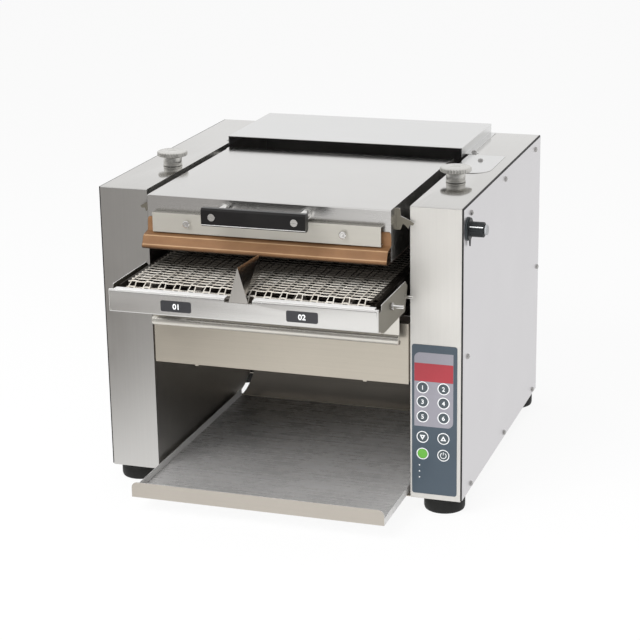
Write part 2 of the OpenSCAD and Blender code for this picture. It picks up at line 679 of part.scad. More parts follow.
module keypad_overlay() color("darkslategray") difference() {
  translate([pad_x, 0, pad_z0 + pad_h / 2]) xz(-0.8, 0) round_rect(pad_w, pad_h, 4);
  for (k = [0 : 4])
    for (s = [-1, 1])
      cy(-2, 1, key_x + s * key_dx, pad_z0 + key_rows[k], key_r + 0.2);
  bx(show_x - 31.2, -2, pad_z0 + 188, show_x + 31.2, 1, pad_z0 + 218);
}
module display_window() color("firebrick")
  bx(show_x - 31, -0.9, pad_z0 + 188.2, show_x + 31, 0, pad_z0 + 217.8);
module key(k, s) color("dimgray") {
  x = key_x + s * key_dx;
  z = pad_z0 + key_rows[k];
  cy(-key_travel - 1.1, -key_travel - 0.05, x, z, key_r);
  cy(-key_travel - 1, 3.1, x, z, 2.5);
}
module key_1() key(0, -1);
module key_2() key(0, 1);
module key_3() key(1, -1);
module key_4() key(1, 1);
module key_5() key(2, -1);
module key_6() key(2, 1);
module key_down() key(3, -1);
module key_up() key(3, 1);
module key_start() key(4, -1);
module key_power() key(4, 1);
module control_board() color("seagreen") {
  bx(pad_x - 33, 7, pad_z0 + 50, pad_x + 33, 8.6, pad_z0 + 234);
  for (k = [0 : 4])
    for (s = [-1, 1])
      cy(3.7, 7.5, key_x + s * key_dx, pad_z0 + key_rows[k], 4);
  bx(show_x - 28, 0.3, pad_z0 + 190, show_x + 28, 7.5, pad_z0 + 216);
  for (z = [pad_z0 + 56, pad_z0 + 228])
    for (s = [-1, 1])
      cy(t, 7.5, pad_x + s * 28, z, 3);
}

module selector_escutcheon() color("dimgray") difference() {
  cx(half_w, half_w + 2, dial_y, dial_z, 18.3);
  cx(half_w - 1, half_w + 3, dial_y, dial_z, 6);
}
module selector_knob() color("black") translate([half_w + 2.3, dial_y, dial_z]) {
  rotate([0, 90, 0]) {
    cylinder(r = 17.5, h = 2);
    translate([0, 0, 1]) cylinder(r = dial_r, h = dial_l - 5);
    translate([0, 0, dial_l - 5]) cylinder(r1 = dial_r, r2 = dial_r - 1, h = 1);
    translate([0, 0, dial_l - 4.5]) cylinder(r = 8, h = 4.5);
    translate([0, 0, -20]) cylinder(r = 3, h = 21);
  }
  yz(0, 2) polygon([[-3.4, -15], [3.4, -15], [0, -27]]);
}
module selector_switch() color("dimgray") difference() {
  bx(face_x - t - 26, dial_y - 15, dial_z - 15, face_x - t, dial_y + 15, dial_z + 15);
  cx(face_x - t - 18, face_x, dial_y, dial_z, 3 + run_gap);
}
module cord_gland() color("black") {
  cy(back_y - 6, body_d + 1, inner_x + 34, 96, 8);
  cy(body_d, body_d + 5, inner_x + 34, 96, 13);
  cy(back_y - 9, back_y, inner_x + 34, 96, 11);
  difference() {
    cy(body_d + 4, body_d + 15, inner_x + 34, 96, 9.5);
    cy(body_d + 6, body_d + 16, inner_x + 34, 96, 5);
  }
}

module at_origin() translate([-org_x, -org_y, 0]) children();
at_origin() left_cabinet();
at_origin() right_cabinet();
at_origin() left_side_panel();
at_origin() right_side_panel();
at_origin() cabinet_screws();
at_origin() base_pan();
at_origin() feet();
at_origin() rear_panel();
at_origin() rear_cover();
at_origin() top_access_plate();
at_origin() lower_front_panel();
at_origin() discharge_chute();
at_origin() landing_tray();
at_origin() crumb_tray();
at_origin() left_conveyor_side();
at_origin() right_conveyor_side();
at_origin() feed_shelf();
at_origin() shelf_labels();
at_origin() lane_divider();
at_origin() idler_shaft();
at_origin() idler_rollers();
at_origin() drive_shaft();
at_origin() belt_sprockets();
at_origin() drive_bearings();
at_origin() motor_sprocket();
at_origin() gearmotor();
at_origin() drive_chain();
at_origin() conveyor_belt();
at_origin() lower_platen();
at_origin() platen_housing();
at_origin() upper_platen();
at_origin() platen_insulation();
at_origin() release_sheet();
at_origin() clamp_bar();
at_origin() clamp_screws();
at_origin() handle_grip();
at_origin() handle_posts();
at_origin() handle_screws();
at_origin() hinge_shaft();
at_origin() left_lift_block();
at_origin() right_lift_block();
at_origin() left_knob();
at_origin() right_knob();
at_origin() keypad_overlay();
at_origin() display_window();
at_origin() control_board();
at_origin() selector_escutcheon();
at_origin() selector_knob();
at_origin() selector_switch();
at_origin() cord_gland();
at_origin() key_1();
at_origin() key_2();
at_origin() key_3();
at_origin() key_4();
at_origin() key_5();
at_origin() key_6();
at_origin() key_down();
at_origin() key_up();
at_origin() key_start();
at_origin() key_power();
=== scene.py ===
import json
from math import cos, inf, pi, radians, sin
import bpy, bmesh
from mathutils import Matrix, Vector, noise


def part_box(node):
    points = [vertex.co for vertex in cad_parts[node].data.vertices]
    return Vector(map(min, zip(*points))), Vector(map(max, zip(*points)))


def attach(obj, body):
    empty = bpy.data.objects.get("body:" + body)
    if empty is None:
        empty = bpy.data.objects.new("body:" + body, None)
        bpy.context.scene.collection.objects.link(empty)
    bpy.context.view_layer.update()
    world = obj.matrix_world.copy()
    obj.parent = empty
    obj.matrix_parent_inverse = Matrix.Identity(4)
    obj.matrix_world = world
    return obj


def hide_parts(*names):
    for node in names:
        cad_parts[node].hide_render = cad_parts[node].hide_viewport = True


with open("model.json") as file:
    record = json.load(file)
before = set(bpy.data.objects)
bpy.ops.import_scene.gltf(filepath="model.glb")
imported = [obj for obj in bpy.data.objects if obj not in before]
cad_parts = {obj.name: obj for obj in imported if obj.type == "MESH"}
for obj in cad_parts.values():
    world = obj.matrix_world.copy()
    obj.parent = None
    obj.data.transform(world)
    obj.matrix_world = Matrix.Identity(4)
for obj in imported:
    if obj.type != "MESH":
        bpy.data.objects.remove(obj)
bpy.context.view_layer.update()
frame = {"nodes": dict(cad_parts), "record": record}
print("frame loaded")

# places are in millimetres from the middle of the cabinet fronts, on the bench
mm = 0.001
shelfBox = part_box("feed_shelf")
midX = (shelfBox[0].x + shelfBox[1].x) / 2
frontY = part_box("right_cabinet")[0].y
bodyOf = {node: body for body, members in frame["record"]["behaviour"]["bodies"].items()
          for node in members}
slotOf = {part["node"]: part["material_slot"] for part in frame["record"]["subparts"]}


def at(x, y, z):
    return Vector((midX + x * mm, frontY + y * mm, z * mm))


def fromMiddle(p):  # a place in metres to those millimetres
    return Vector(((p.x - midX) / mm, (p.y - frontY) / mm, p.z / mm))


def corners(node):  # a node's two corners
    return [fromMiddle(p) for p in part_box(node)]


def newObject(name, data):
    made = bpy.data.objects.new(name, data)
    bpy.context.scene.collection.objects.link(made)
    return made


# camera
view = {
    "azimuth": 18.508, "elevation": 17.377, "roll": -0.941,  # degrees
    "place": (958.9, -2657.0, 1184.6),
    "lens": 105.28, "sensor": 36.0, "clip": (0.05, 60),
}


def makeCamera():
    azimuth, elevation, roll = (radians(view[k]) for k in ("azimuth", "elevation", "roll"))
    back = Vector((sin(azimuth) * cos(elevation),
                   -cos(azimuth) * cos(elevation), sin(elevation)))
    right = (-back).cross(Vector((0, 0, 1))).normalized()
    up = back.cross(right)
    tiltRight = right * cos(roll) + up * sin(roll)
    tiltUp = up * cos(roll) - right * sin(roll)
    camera = newObject("camera", bpy.data.cameras.new("camera"))
    camera.data.lens = view["lens"]
    camera.data.sensor_width = view["sensor"]
    camera.data.clip_start, camera.data.clip_end = view["clip"]
    turn = Matrix((tiltRight, tiltUp, back)).transposed().to_4x4()
    camera.matrix_world = Matrix.Translation(at(*view["place"])) @ turn
    bpy.context.scene.camera = camera


makeCamera()
bpy.context.scene.view_settings.view_transform = "Standard"


# shader wiring
class Wire:  # one socket that takes part in sums
    def __init__(self, paint, socket):
        self.paint, self.socket = paint, socket

    def sum(self, operation, first, second=0.0):
        return self.paint.node("Math", {"operation": operation}, {0: first, 1: second})

    def __add__(self, other): return self.sum("ADD", self, other)
    def __radd__(self, other): return self.sum("ADD", other, self)
    def __sub__(self, other): return self.sum("SUBTRACT", self, other)
    def __rsub__(self, other): return self.sum("SUBTRACT", other, self)
    def __mul__(self, other): return self.sum("MULTIPLY", self, other)
    def __rmul__(self, other): return self.sum("MULTIPLY", other, self)
    def __truediv__(self, other): return self.sum("DIVIDE", self, other)
    def __rtruediv__(self, other): return self.sum("DIVIDE", other, self)
    def __gt__(self, other): return self.sum("GREATER_THAN", self, other)

    def between(self, low, high):  # 0 at low, 1 at high, smooth
        return self.paint.node("MapRange", {"interpolation_type": "SMOOTHSTEP"},
                               {0: self, 1: low, 2: high, 3: 0.0, 4: 1.0})


class Paint:  # a material and its nodes
    def __init__(self, name, **fixed):
        self.material = bpy.data.materials.new(name)
        self.material.use_nodes = True
        self.tree = self.material.node_tree
        self.tree.nodes.clear()
        self.shader = self.tree.nodes.new("ShaderNodeBsdfPrincipled")
        self.output = self.tree.nodes.new("ShaderNodeOutputMaterial")
        self.tree.links.new(self.shader.outputs[0], self.output.inputs[0])
        self.set(**fixed)

    def feed(self, socket, value):
        if isinstance(value, Wire):
            self.tree.links.new(value.socket, socket)
        elif socket.type == "RGBA" and len(value) == 3:
            socket.default_value = (*value, 1)
        else:
            socket.default_value = value

    def node(self, kind, settings=None, inputs=None, output=0):
        made = self.tree.nodes.new("ShaderNode" + kind)
        for key, value in (settings or {}).items():
            setattr(made, key, value)
        for key, value in (inputs or {}).items():
            self.feed(made.inputs[key], value)
        return Wire(self, made.outputs[output])

    def place(self, scale=(1, 1, 1)):  # object coordinates in metres, stretched
        coordinates = self.node("TexCoord", output="Object")
        return self.node("VectorMath", {"operation": "MULTIPLY"},
                         {0: coordinates, 1: scale})

    def axes(self, vector):  # a vector's three numbers
        split = self.node("SeparateXYZ", None, {0: vector}).socket.node
        return [Wire(self, socket) for socket in split.outputs]

    def cloud(self, scale, detail=3.0, roughness=0.5, stretch=(1, 1, 1)):
        return self.node("TexNoise", None, {
            "Vector": self.place(stretch), "Scale": scale, "Detail": detail,
            "Roughness": roughness})

    def mix(self, factor, first, second):
        return self.node("Mix", {"data_type": "RGBA", "blend_type": "MIX"},
                         {0: factor, 6: first, 7: second}, output=2)

    def mottle(self, tone, colour, low, high, darkest, lightest):  # a colour that follows a tone
        return self.mix(tone.between(low, high), shade(colour, darkest), shade(colour, lightest))

    def bump(self, height, strength, distance):
        return self.node("Bump", None, {
            "Height": height, "Strength": strength, "Distance": distance})

    def set(self, **values):
        for socket, value in values.items():
            self.feed(self.shader.inputs[socket.replace("_", " ")], value)

    def finish(self, colour, roughness, *relief):  # relief: height, strength, distance
        self.set(Base_Color=colour, Roughness=roughness, Normal=self.bump(*relief))
        return self.material


def shade(colour, factor):
    return tuple(min(1.0, part * factor) for part in colour)


# finishes
finishes = {}
grainAlong = {"x": (0.012, 1, 1), "y": (1, 0.012, 1), "z": (1, 1, 0.012)}
brushing = {  # noise as scale, detail and roughness
    "fine": (2600, 2.0, 0.6), "broad": (420, 3.0, 0.55),  # drawn out along the grain
    "blotch": (6.5, 2.0, 0.5), "smear": (28, 4.0, 0.62),
    # the next line's first share darkens the colour of faces that look up: painted shade on the tops
    "paintedTopShade": 0.14, "bumpShare": 0.2, "bumpDistance": 0.0002,
}
steelFinishes = {
    # colour, roughness, axis of the grain and its depth, cloudiness,
    # and where they differ from 1 and 0.5, metal and the extra gloss of faces that look up
    "sideSheet": ((0.63, 0.617, 0.63), 0.30, "y", 0.3, 0.03),
    "cabinetSheet": ((0.67, 0.66, 0.64), 0.33, "z", 0.3, 0.04, 1.0, 0.68),
    # a copy of the cabinet sheet for the right cabinet's front, tuned to the light on that face:
    # painted light
    "rightFrontSheet": ((0.60, 0.585, 0.555), 0.36, "z", 0.3, 0.04, 0.5),
    "housingSheet": ((0.71, 0.70, 0.685), 0.26, "x", 0.3, 0.03),
    "coverSheet": ((0.75, 0.75, 0.745), 0.34, "x", 0.25, 0.025),
    "shelfSheet": ((0.72, 0.71, 0.69), 0.25, "x", 0.12, 0.03, 0.9),
    "traySheet": ((0.80, 0.79, 0.78), 0.55, "x", 0.4, 0.12, 0.25),
    # near white and not metal: a painted highlight for the sheen on the shelf lip's level top
    "shelfTop": ((0.97, 0.965, 0.96), 0.4, "x", 0.3, 0.02, 0.0),
    # dark brown: painted shade on the shelf's side flanges and on faces of the housing just ahead of
    # the cabinet fronts
    "shelfFlange": ((0.20, 0.185, 0.15), 0.4, "y", 0.3, 0.08, 0.7),
    "trayLip": ((0.535, 0.495, 0.44), 0.34, "x", 0.3, 0.04, 0.9),
    "frontPanelSheet": ((0.55, 0.505, 0.43), 0.30, "x", 0.3, 0.05, 0.85),
    "crumbSheet": ((0.69, 0.665, 0.61), 0.24, "x", 0.1, 0.05, 0.82),
    "innerSheet": ((0.62, 0.57, 0.50), 0.34, "x", 0.3, 0.06, 0.6),
    "dividerSheet": ((0.62, 0.60, 0.565), 0.2, "z", 0.2, 0.05),
    "barSheet": ((0.52, 0.50, 0.45), 0.30, "x", 0.15, 0.03, 0.6),
    "brightSteel": ((0.80, 0.79, 0.77), 0.12, "y", 0.1, 0.03),
    "screwSteel": ((0.46, 0.45, 0.44), 0.16, "y", 0.1, 0.05),
    "turnedSteel": ((0.70, 0.68, 0.64), 0.20, "x", 0.4, 0.05),
    "darkSteel": ((0.24, 0.22, 0.20), 0.40, "x", 0.4, 0.1),
    # near black: painted shade on the conveyor sides and on the chute's upper part
    "sootedSteel": ((0.06, 0.05, 0.042), 0.42, "y", 0.3, 0.15, 0.8),
    # dark: baked-on soil together with painted shade, in the crumb tray and on the lower platen
    "bakedSteel": ((0.07, 0.058, 0.047), 0.5, "x", 0.4, 0.25, 0.6),
}


def brushedSteel(name, colour, roughness, along, depth, clouds, metal=1.0, topGloss=0.5):
    paint = Paint(name, Metallic=metal)
    level = "y" if along == "z" else along  # the grain of faces that look up
    facing = paint.axes(paint.node("NewGeometry", output="Normal"))[2]
    flat = (facing * facing) > 0.5

    def grain(kind):
        streaks = paint.cloud(*brushing[kind], grainAlong[along])
        if along == level:
            return streaks
        return flat * paint.cloud(*brushing[kind], grainAlong[level]) + (1 - flat) * streaks
    fine, broad = grain("fine"), grain("broad")
    blotch, smear = paint.cloud(*brushing["blotch"]), paint.cloud(*brushing["smear"])
    tone = 0.3 * broad + 0.2 * fine + 0.3 * blotch + 0.2 * smear
    coat = paint.mottle(tone, colour, 0.3, 0.7, 1 - clouds, 1 + clouds)
    uneven = 0.7 + 0.2 * broad + 0.25 * smear + 0.15 * fine
    # faces that look up are darkened: painted shade on the tops
    return paint.finish(paint.mix(flat * brushing["paintedTopShade"], coat, (0, 0, 0)),
                        roughness * (1 - topGloss * flat) * uneven,
                        0.6 * fine + 0.4 * broad, depth * brushing["bumpShare"],
                        brushing["bumpDistance"])


grainyKinds = {
    # detail and roughness of the fine noise, the broad noise, share of the fine one, the tone's range
    # and shades, roughness (steady, by broad and by fine noise), strength and distance of the relief
    "moulded": ((3, 0.6), (22, 4, 0.6), 0.5, (0.3, 0.75, 0.75, 1.5), (0.8, 0.25, 0.15), (0.12, 0.0003)),
    "cast": ((4, 0.65), (12, 3, 0.5), 0.5, (0.3, 0.7, 0.85, 1.1), (0.8, 0, 0.4), (0.3, 0.0005)),
    "film": ((2, 0.5), (14, 3, 0.5), 0.4, (0.25, 0.75, 0.94, 1.06), (0.85, 0.3, 0), (0.1, 0.00012)),
}
grainyFinishes = {  # kind, colour, roughness, scale of the grain, metal
    "grip": ("moulded", (0.006, 0.0055, 0.0055), 0.32, 900),
    "rubber": ("moulded", (0.009, 0.009, 0.0085), 0.6, 1400),
    "selectorBlack": ("moulded", (0.012, 0.014, 0.015), 0.45, 1100),
    # black strips in the seams: painted shadow of the deep gaps
    "gasket": ("moulded", (0.010, 0.009, 0.009), 0.6, 1500),
    "escutcheonGrey": ("moulded", (0.05, 0.06, 0.065), 0.4, 1100),
    "motorPaint": ("moulded", (0.05, 0.055, 0.06), 0.5, 500),
    "castAluminium": ("cast", (0.55, 0.54, 0.52), 0.45, 600, 1.0),
    # pale and nearly diffuse: a painted highlight on the grip's lower front bevel
    "wornEdge": ("cast", (0.85, 0.85, 0.84), 0.45, 900, 0.1),
    "knobMetal": ("cast", (0.60, 0.59, 0.56), 0.24, 1500, 0.9),
}
filmColours = {
    "overlaySlate": (0.044, 0.064, 0.085), "overlayLilac": (0.25, 0.243, 0.275),
    "printWhite": (0.78, 0.79, 0.80), "keyDark": (0.052, 0.068, 0.078), "keyGreen": (0.11, 0.36, 0.04),
    "displayRed": (0.33, 0.024, 0.036), "labelDark": (0.022, 0.022, 0.025),
    "boardGreen": (0.05, 0.2, 0.08), "capGrey": (0.33, 0.34, 0.35),
}
for filmName, filmColour in filmColours.items():
    grainyFinishes[filmName] = ("film", filmColour, 0.38, 1300)


def grainy(name, kind, colour, roughness, scale, metal=0.0):
    fineNoise, broadNoise, share, shades, parts, relief = grainyKinds[kind]
    paint = Paint(name, Metallic=metal)
    fine, broad = paint.cloud(scale, *fineNoise), paint.cloud(*broadNoise)
    if kind == "moulded":
        paint.set(Specular_IOR_Level=0.3)
    if kind == "film":  # a thin coat
        paint.set(Coat_Roughness=0.25, Coat_Weight=0.25 * (0.8 + 0.4 * broad))
    return paint.finish(paint.mottle(share * fine + (1 - share) * broad, colour, *shades),
                        roughness * (parts[0] + parts[1] * broad + parts[2] * fine), fine, *relief)


clothLook = {
    "tan": (0.145, 0.071, 0.031), "pale": (0.245, 0.130, 0.060), "foldHighlight": (0.47, 0.31, 0.175),
    "weave": 1250.0,
    "folds": ((4.9, 0.9), (17.6, 1.1)),  # painted highlights along the folds, below the clamp bar, and half their width
    "low": (26, 18), "paintedUnderShade": 0.25,  # painted shade where the sheet turns under the platen
}


def coatedCloth():  # glass cloth with a tan coating, with painted highlights along its folds and painted shade where it turns under
    look = clothLook
    paint = Paint("coatedCloth", IOR=1.4)
    across, along = (
        paint.node("TexWave", {"wave_type": "BANDS", "bands_direction": axis}, {
            "Vector": paint.place(), "Scale": look["weave"] / 6, "Distortion": 0.4, "Detail": 1.0})
        for axis in ("X", "Z"))
    weave = across * along
    stain = paint.cloud(16, 4.0, 0.6)
    streak = paint.cloud(60, 3.0, 0.6, (0.12, 1, 1))
    cloth = paint.mix((0.5 * stain + 0.35 * streak + 0.15 * weave).between(0.25, 0.75),
                      look["tan"], look["pale"])
    height = paint.axes(paint.place())[2] / mm + 1.2 * streak - 0.6
    lip = corners("clamp_bar")[0].z
    for below, half in look["folds"]:
        fold = lip - below
        line = height.between(fold - half, fold) * (1 - height.between(fold, fold + half))
        # a painted highlight along each fold
        cloth = paint.mix(line * (0.5 + 0.5 * stain), cloth, look["foldHighlight"])
    low = height.between(*(lip - below for below in look["low"]))
    # the sheet is darkened where it turns under the platen: painted shade
    return paint.finish(paint.mix(low, shade(look["tan"], look["paintedUnderShade"]), cloth),
                        0.36 + 0.2 * stain, weave + stain, 0.16, 0.0003)


wireLook = {
    "bright": 374, "shadedBelow": 362, "platenShadeSpan": (-90, -10),  # heights where the painted shade of the return run ends, and places from front to back of the painted shade under the platen
    "straw": ((0.62, 0.57, 0.50), (0.80, 0.77, 0.71)),
    # colour and share of the painted shade under the platen, then the colour of the painted shade on
    # the return run
    "platenShadeColour": (0.045, 0.038, 0.03), "platenShadeShare": 0.93, "soot": (0.04, 0.032, 0.026),
}


def heatedAndShadedWire():  # belt wire, straw coloured by the heat, with painted shade on the return run and under the platen
    look = wireLook
    paint = Paint("heatedAndShadedWire")
    patch = paint.cloud(45, 3.0, 0.6)
    grit = paint.cloud(700, 3.0, 0.6)
    back, height = paint.axes(paint.place())[1:]
    # full painted shade below the lower height, none above the upper one
    unshaded = height.between(look["shadedBelow"] * mm, look["bright"] * mm)
    under = back.between(*(frontY + y * mm for y in look["platenShadeSpan"]))
    wire = paint.mix((0.6 * patch + 0.4 * grit).between(0.3, 0.7), *look["straw"])
    # painted shade under the platen
    wire = paint.mix(under * look["platenShadeShare"], wire, look["platenShadeColour"])
    paint.set(Metallic=0.45 + 0.4 * (1 - unshaded))
    # painted shade on the return run
    return paint.finish(paint.mix(unshaded, look["soot"], wire),
                        0.3 + 0.15 * grit + 0.2 * (1 - unshaded), grit, 0.12, 0.0003)


def mineralWool():
    paint = Paint("mineralWool")
    fibre = paint.cloud(300, 5.0, 0.7, (1, 0.3, 1))
    return paint.finish(paint.mix(fibre, (0.55, 0.5, 0.36), (0.78, 0.74, 0.6)),
                        0.85 + 0.1 * fibre, fibre, 0.5, 0.001)


for maker, table in ((brushedSteel, steelFinishes), (grainy, grainyFinishes)):
    for finishName, finishWords in table.items():
        finishes[finishName] = maker(finishName, *finishWords)
for maker in (coatedCloth, heatedAndShadedWire, mineralWool):
    finishes[maker.__name__] = maker()
print("finishes made")


# shapes
weldDistance = 2e-6  # metres
flatAngle, sharpAngle, bevelAngle = 0.8, 32, 40  # degrees


def weldedMesh(node):
    source = bmesh.new()
    source.from_mesh(frame["nodes"][node].data)
    bmesh.ops.remove_doubles(source, verts=source.verts, dist=weldDistance)
    return source


def around(x, z, r, start, sweep, steps):  # points on an arc, angles in degrees
    turns = [radians(start + sweep * i / steps) for i in range(steps + 1)]
    return [(x + r * cos(turn), z + r * sin(turn)) for turn in turns]


class Shape:  # a mesh in the making, in millimetres
    def __init__(self):
        self.mesh = bmesh.new()

    def point(self, plane, a, b, c):  # a and b in the plane, c along the axis it is named after
        return self.mesh.verts.new({"x": (c, a, b), "y": (a, c, b), "z": (a, b, c)}[plane])

    def slab(self, plane, loops, low, high):  # an outline, with any holes, from low to high
        rings = [[[self.point(plane, a, b, c) for a, b in loop] for loop in loops]
                 for c in (low, high)]
        for ring in rings:
            edges = [self.mesh.edges.new((loop[i - 1], loop[i]))
                     for loop in ring for i in range(len(loop))]
            if len(loops) == 1:
                self.mesh.faces.new(ring[0])
            else:
                bmesh.ops.triangle_fill(self.mesh, use_beauty=True, edges=edges)
        for lower, upper in zip(*rings):
            for i in range(len(lower)):
                self.mesh.faces.new((lower[i - 1], lower[i], upper[i], upper[i - 1]))
        return self

    def lathe(self, plane, centre, profile, steps=48, wave=None):  # radii and places along the axis
        rings = []
        closed = profile[0] == profile[-1]  # a ring shape, open along its axis
        for radius, along in profile[:-1] if closed else profile:
            if radius <= 0:
                rings.append([self.point(plane, centre[0], centre[1], along)] * steps)
                continue
            ring = []
            for i in range(steps):
                angle = 2 * pi * i / steps
                here = radius if wave is None else wave(radius, along, angle)
                ring.append(self.point(plane, centre[0] + here * cos(angle),
                                       centre[1] + here * sin(angle), along))
            rings.append(ring)
        for lower, upper in zip(rings, rings[1:] + rings[:1] if closed else rings[1:]):
            for i in range(steps):
                face = []
                for v in (lower[i - 1], lower[i], upper[i], upper[i - 1]):
                    if v not in face:
                        face.append(v)
                if len(face) > 2:
                    self.mesh.faces.new(face)
        for ring, end in ((rings[0], profile[0]), (rings[-1], profile[-1])):
            if end[0] > 0 and not closed:
                self.mesh.faces.new(ring)
        return self

    def copy(self, node):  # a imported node's solid, with its flat faces joined
        source = weldedMesh(node)
        bmesh.ops.dissolve_limit(source, angle_limit=radians(flatAngle),
                                 verts=source.verts, edges=source.edges)
        for vert in source.verts:
            vert.co = fromMiddle(vert.co)
        temporary = bpy.data.meshes.new("temporary")
        source.to_mesh(temporary)
        source.free()
        self.mesh.from_mesh(temporary)
        bpy.data.meshes.remove(temporary)
        return self

    def bend(self, folds, radius):  # a fold is two axis places, such as {"y": 0, "z": 501}
        def lies(edge, fold):
            return all(abs(getattr(vert.co, axis) - place) < 0.15
                       for vert in edge.verts for axis, place in fold.items())
        edges = [edge for edge in self.mesh.edges if any(lies(edge, fold) for fold in folds)]
        bmesh.ops.bevel(self.mesh, geom=edges, offset=radius, segments=5, profile=0.5,
                        affect="EDGES", clamp_overlap=False)
        return self

    def standFor(self, node, name, finish, **more):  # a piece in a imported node's place
        return self.piece(name, finish, bodyOf[node], slotOf[node], node, **more)

    def piece(self, name, finish, body, slot, stands="", bevel=0.0, sharp=sharpAngle, others={}):
        bmesh.ops.recalc_face_normals(self.mesh, faces=self.mesh.faces)
        self.mesh.normal_update()
        for place, chosen in enumerate(others.values(), 1):  # other finishes on chosen faces
            for face in self.mesh.faces:
                if chosen(face.calc_center_median(), face.normal):
                    face.material_index = place
        for vert in self.mesh.verts:
            vert.co = at(*vert.co)
        data = bpy.data.meshes.new(name)
        self.mesh.to_mesh(data)
        self.mesh.free()
        made = newObject(name, data)
        for wanted in (finish, *others):
            data.materials.append(finishes[wanted])
        for polygon in data.polygons:
            polygon.use_smooth = True
        data.set_sharp_from_angle(angle=radians(sharp))
        if bevel:
            edge = made.modifiers.new("edge", "BEVEL")
            edge.width, edge.segments = bevel * mm, 2
            edge.limit_method, edge.angle_limit = "ANGLE", radians(bevelAngle)
            edge.use_clamp_overlap, edge.harden_normals = True, True
        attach(made, body)
        if stands:
            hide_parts(stands)
        return made


def copied(node, name, finish, edge, others={}):
    Shape().copy(node).standFor(node, name, finish, bevel=edge, others=others)


def loosePieces(node):  # the corners of each separate solid in a node
    source = weldedMesh(node)
    seen, found = set(), []
    for start in source.verts:
        if start in seen:
            continue
        seen.add(start)
        waiting, places = [start], []
        while waiting:
            vert = waiting.pop()
            places.append(fromMiddle(vert.co))
            for edge in vert.link_edges:
                other = edge.other_vert(vert)
                if other not in seen:
                    seen.add(other)
                    waiting.append(other)
        found.append([Vector([pick(p[axis] for p in places) for axis in range(3)])
                      for pick in (min, max)])
    source.free()
    return found


# sheet metal
shelf = {
    "lip": 384.0, "bend": 4.0, "thick": 1.2,
    "drop": 8.0,  # from the lower edge of its front down to that of its flanges
}
wrapBend = 2.0
bentSheets = {  # node: finish, width of its rounded edges
    "left_cabinet": ("cabinetSheet", 0.45), "right_cabinet": ("cabinetSheet", 0.45),
    "left_side_panel": ("sideSheet", 0.4), "right_side_panel": ("sideSheet", 0.4),
    "base_pan": ("innerSheet", 0.4), "rear_panel": ("sideSheet", 0.4),
    "rear_cover": ("coverSheet", 0.5),
    "top_access_plate": ("coverSheet", 0.3), "lower_front_panel": ("frontPanelSheet", 0.4),
    "discharge_chute": ("innerSheet", 0.3), "landing_tray": ("traySheet", 0.4),
    # the conveyor sides are darkened: painted shade
    "left_conveyor_side": ("sootedSteel", 0.35), "right_conveyor_side": ("sootedSteel", 0.35),
    "feed_shelf": ("shelfSheet", 0.45), "lane_divider": ("dividerSheet", 0.3),
    "platen_housing": ("housingSheet", 0.5), "clamp_bar": ("barSheet", 0.5),
}
otherFinishes = {  # node: finishes of the faces that a test picks
    # the chute's upper part is darkened: painted shade
    "discharge_chute": {"sootedSteel": lambda middle, normal: middle.z > 120},
    # painted light: the right cabinet's front takes its own copy of the cabinet sheet
    "right_cabinet": {"rightFrontSheet": lambda middle, normal: normal.y < -0.9 and middle.y < 1},
    # these faces of the housing are darkened: painted shade
    "platen_housing": {
        "shelfFlange": lambda middle, normal: -9 < middle.y < -6 and abs(normal.y) > 0.9},
    "landing_tray": {"trayLip": lambda middle, normal: normal.y < -0.5},
    "feed_shelf": {
        # painted highlight on the lip's level top
        "shelfTop": lambda middle, normal: normal.z > 0.9 and middle.z > shelf["lip"] - 1,
        # the side flanges are darkened: painted shade
        "shelfFlange": lambda middle, normal: abs(normal.x) > 0.9},
    "left_conveyor_side": {  # the studs' ends
        "brightSteel": lambda middle, normal: middle.x < corners("feed_shelf")[0].x - 0.5},
    "right_conveyor_side": {
        "brightSteel": lambda middle, normal: middle.x > corners("feed_shelf")[1].x + 0.5},
}


def bentSheet(node, finish, edgeWidth):
    low, high = corners(node)
    sheet = Shape().copy(node)
    if node in ("left_cabinet", "right_cabinet", "platen_housing"):
        sheet.bend([{"y": low.y, "z": high.z}], wrapBend)
    if node == "feed_shelf":
        lip, foot, thick = shelf["lip"], low.z + shelf["drop"], shelf["thick"]
        for inset in (0, thick):  # outside and inside of the sheet
            front = low.y + inset
            sheet.bend([{"y": front, "z": lip - inset}, {"y": front, "z": foot + inset},
                        {"x": low.x + inset, "y": front}, {"x": high.x - inset, "y": front}],
                       shelf["bend"] - inset)
    sheet.standFor(node, node + "_sheet", finish, bevel=edgeWidth, others=otherFinishes.get(node, {}))


for sheetNode, sheetWords in bentSheets.items():
    bentSheet(sheetNode, *sheetWords)


def crumbTray():  # baked on and darkened with painted shade inside, with a polished bead along its front
    setup = {"bead": 7.7, "steps": 20, "edge": 0.4, "beadEdge": 0.9, "front": 0.3}
    low, high = corners("crumb_tray")
    copied("crumb_tray", "crumb_tray_sheet", "crumbSheet", setup["edge"],
           # the inside is darkened: baked-on soil and painted shade
           {"bakedSteel": lambda middle, normal: middle.y > low.y + setup["front"]})
    r = setup["bead"]
    Shape().slab("x", [around(low.y, low.z + r, r, 90, 180, setup["steps"])], low.x, high.x).piece(
        "crumb_tray_bead", "crumbSheet", "crumb_tray", slotOf["crumb_tray"], bevel=setup["beadEdge"])


crumbTray()
print("sheet metal done")

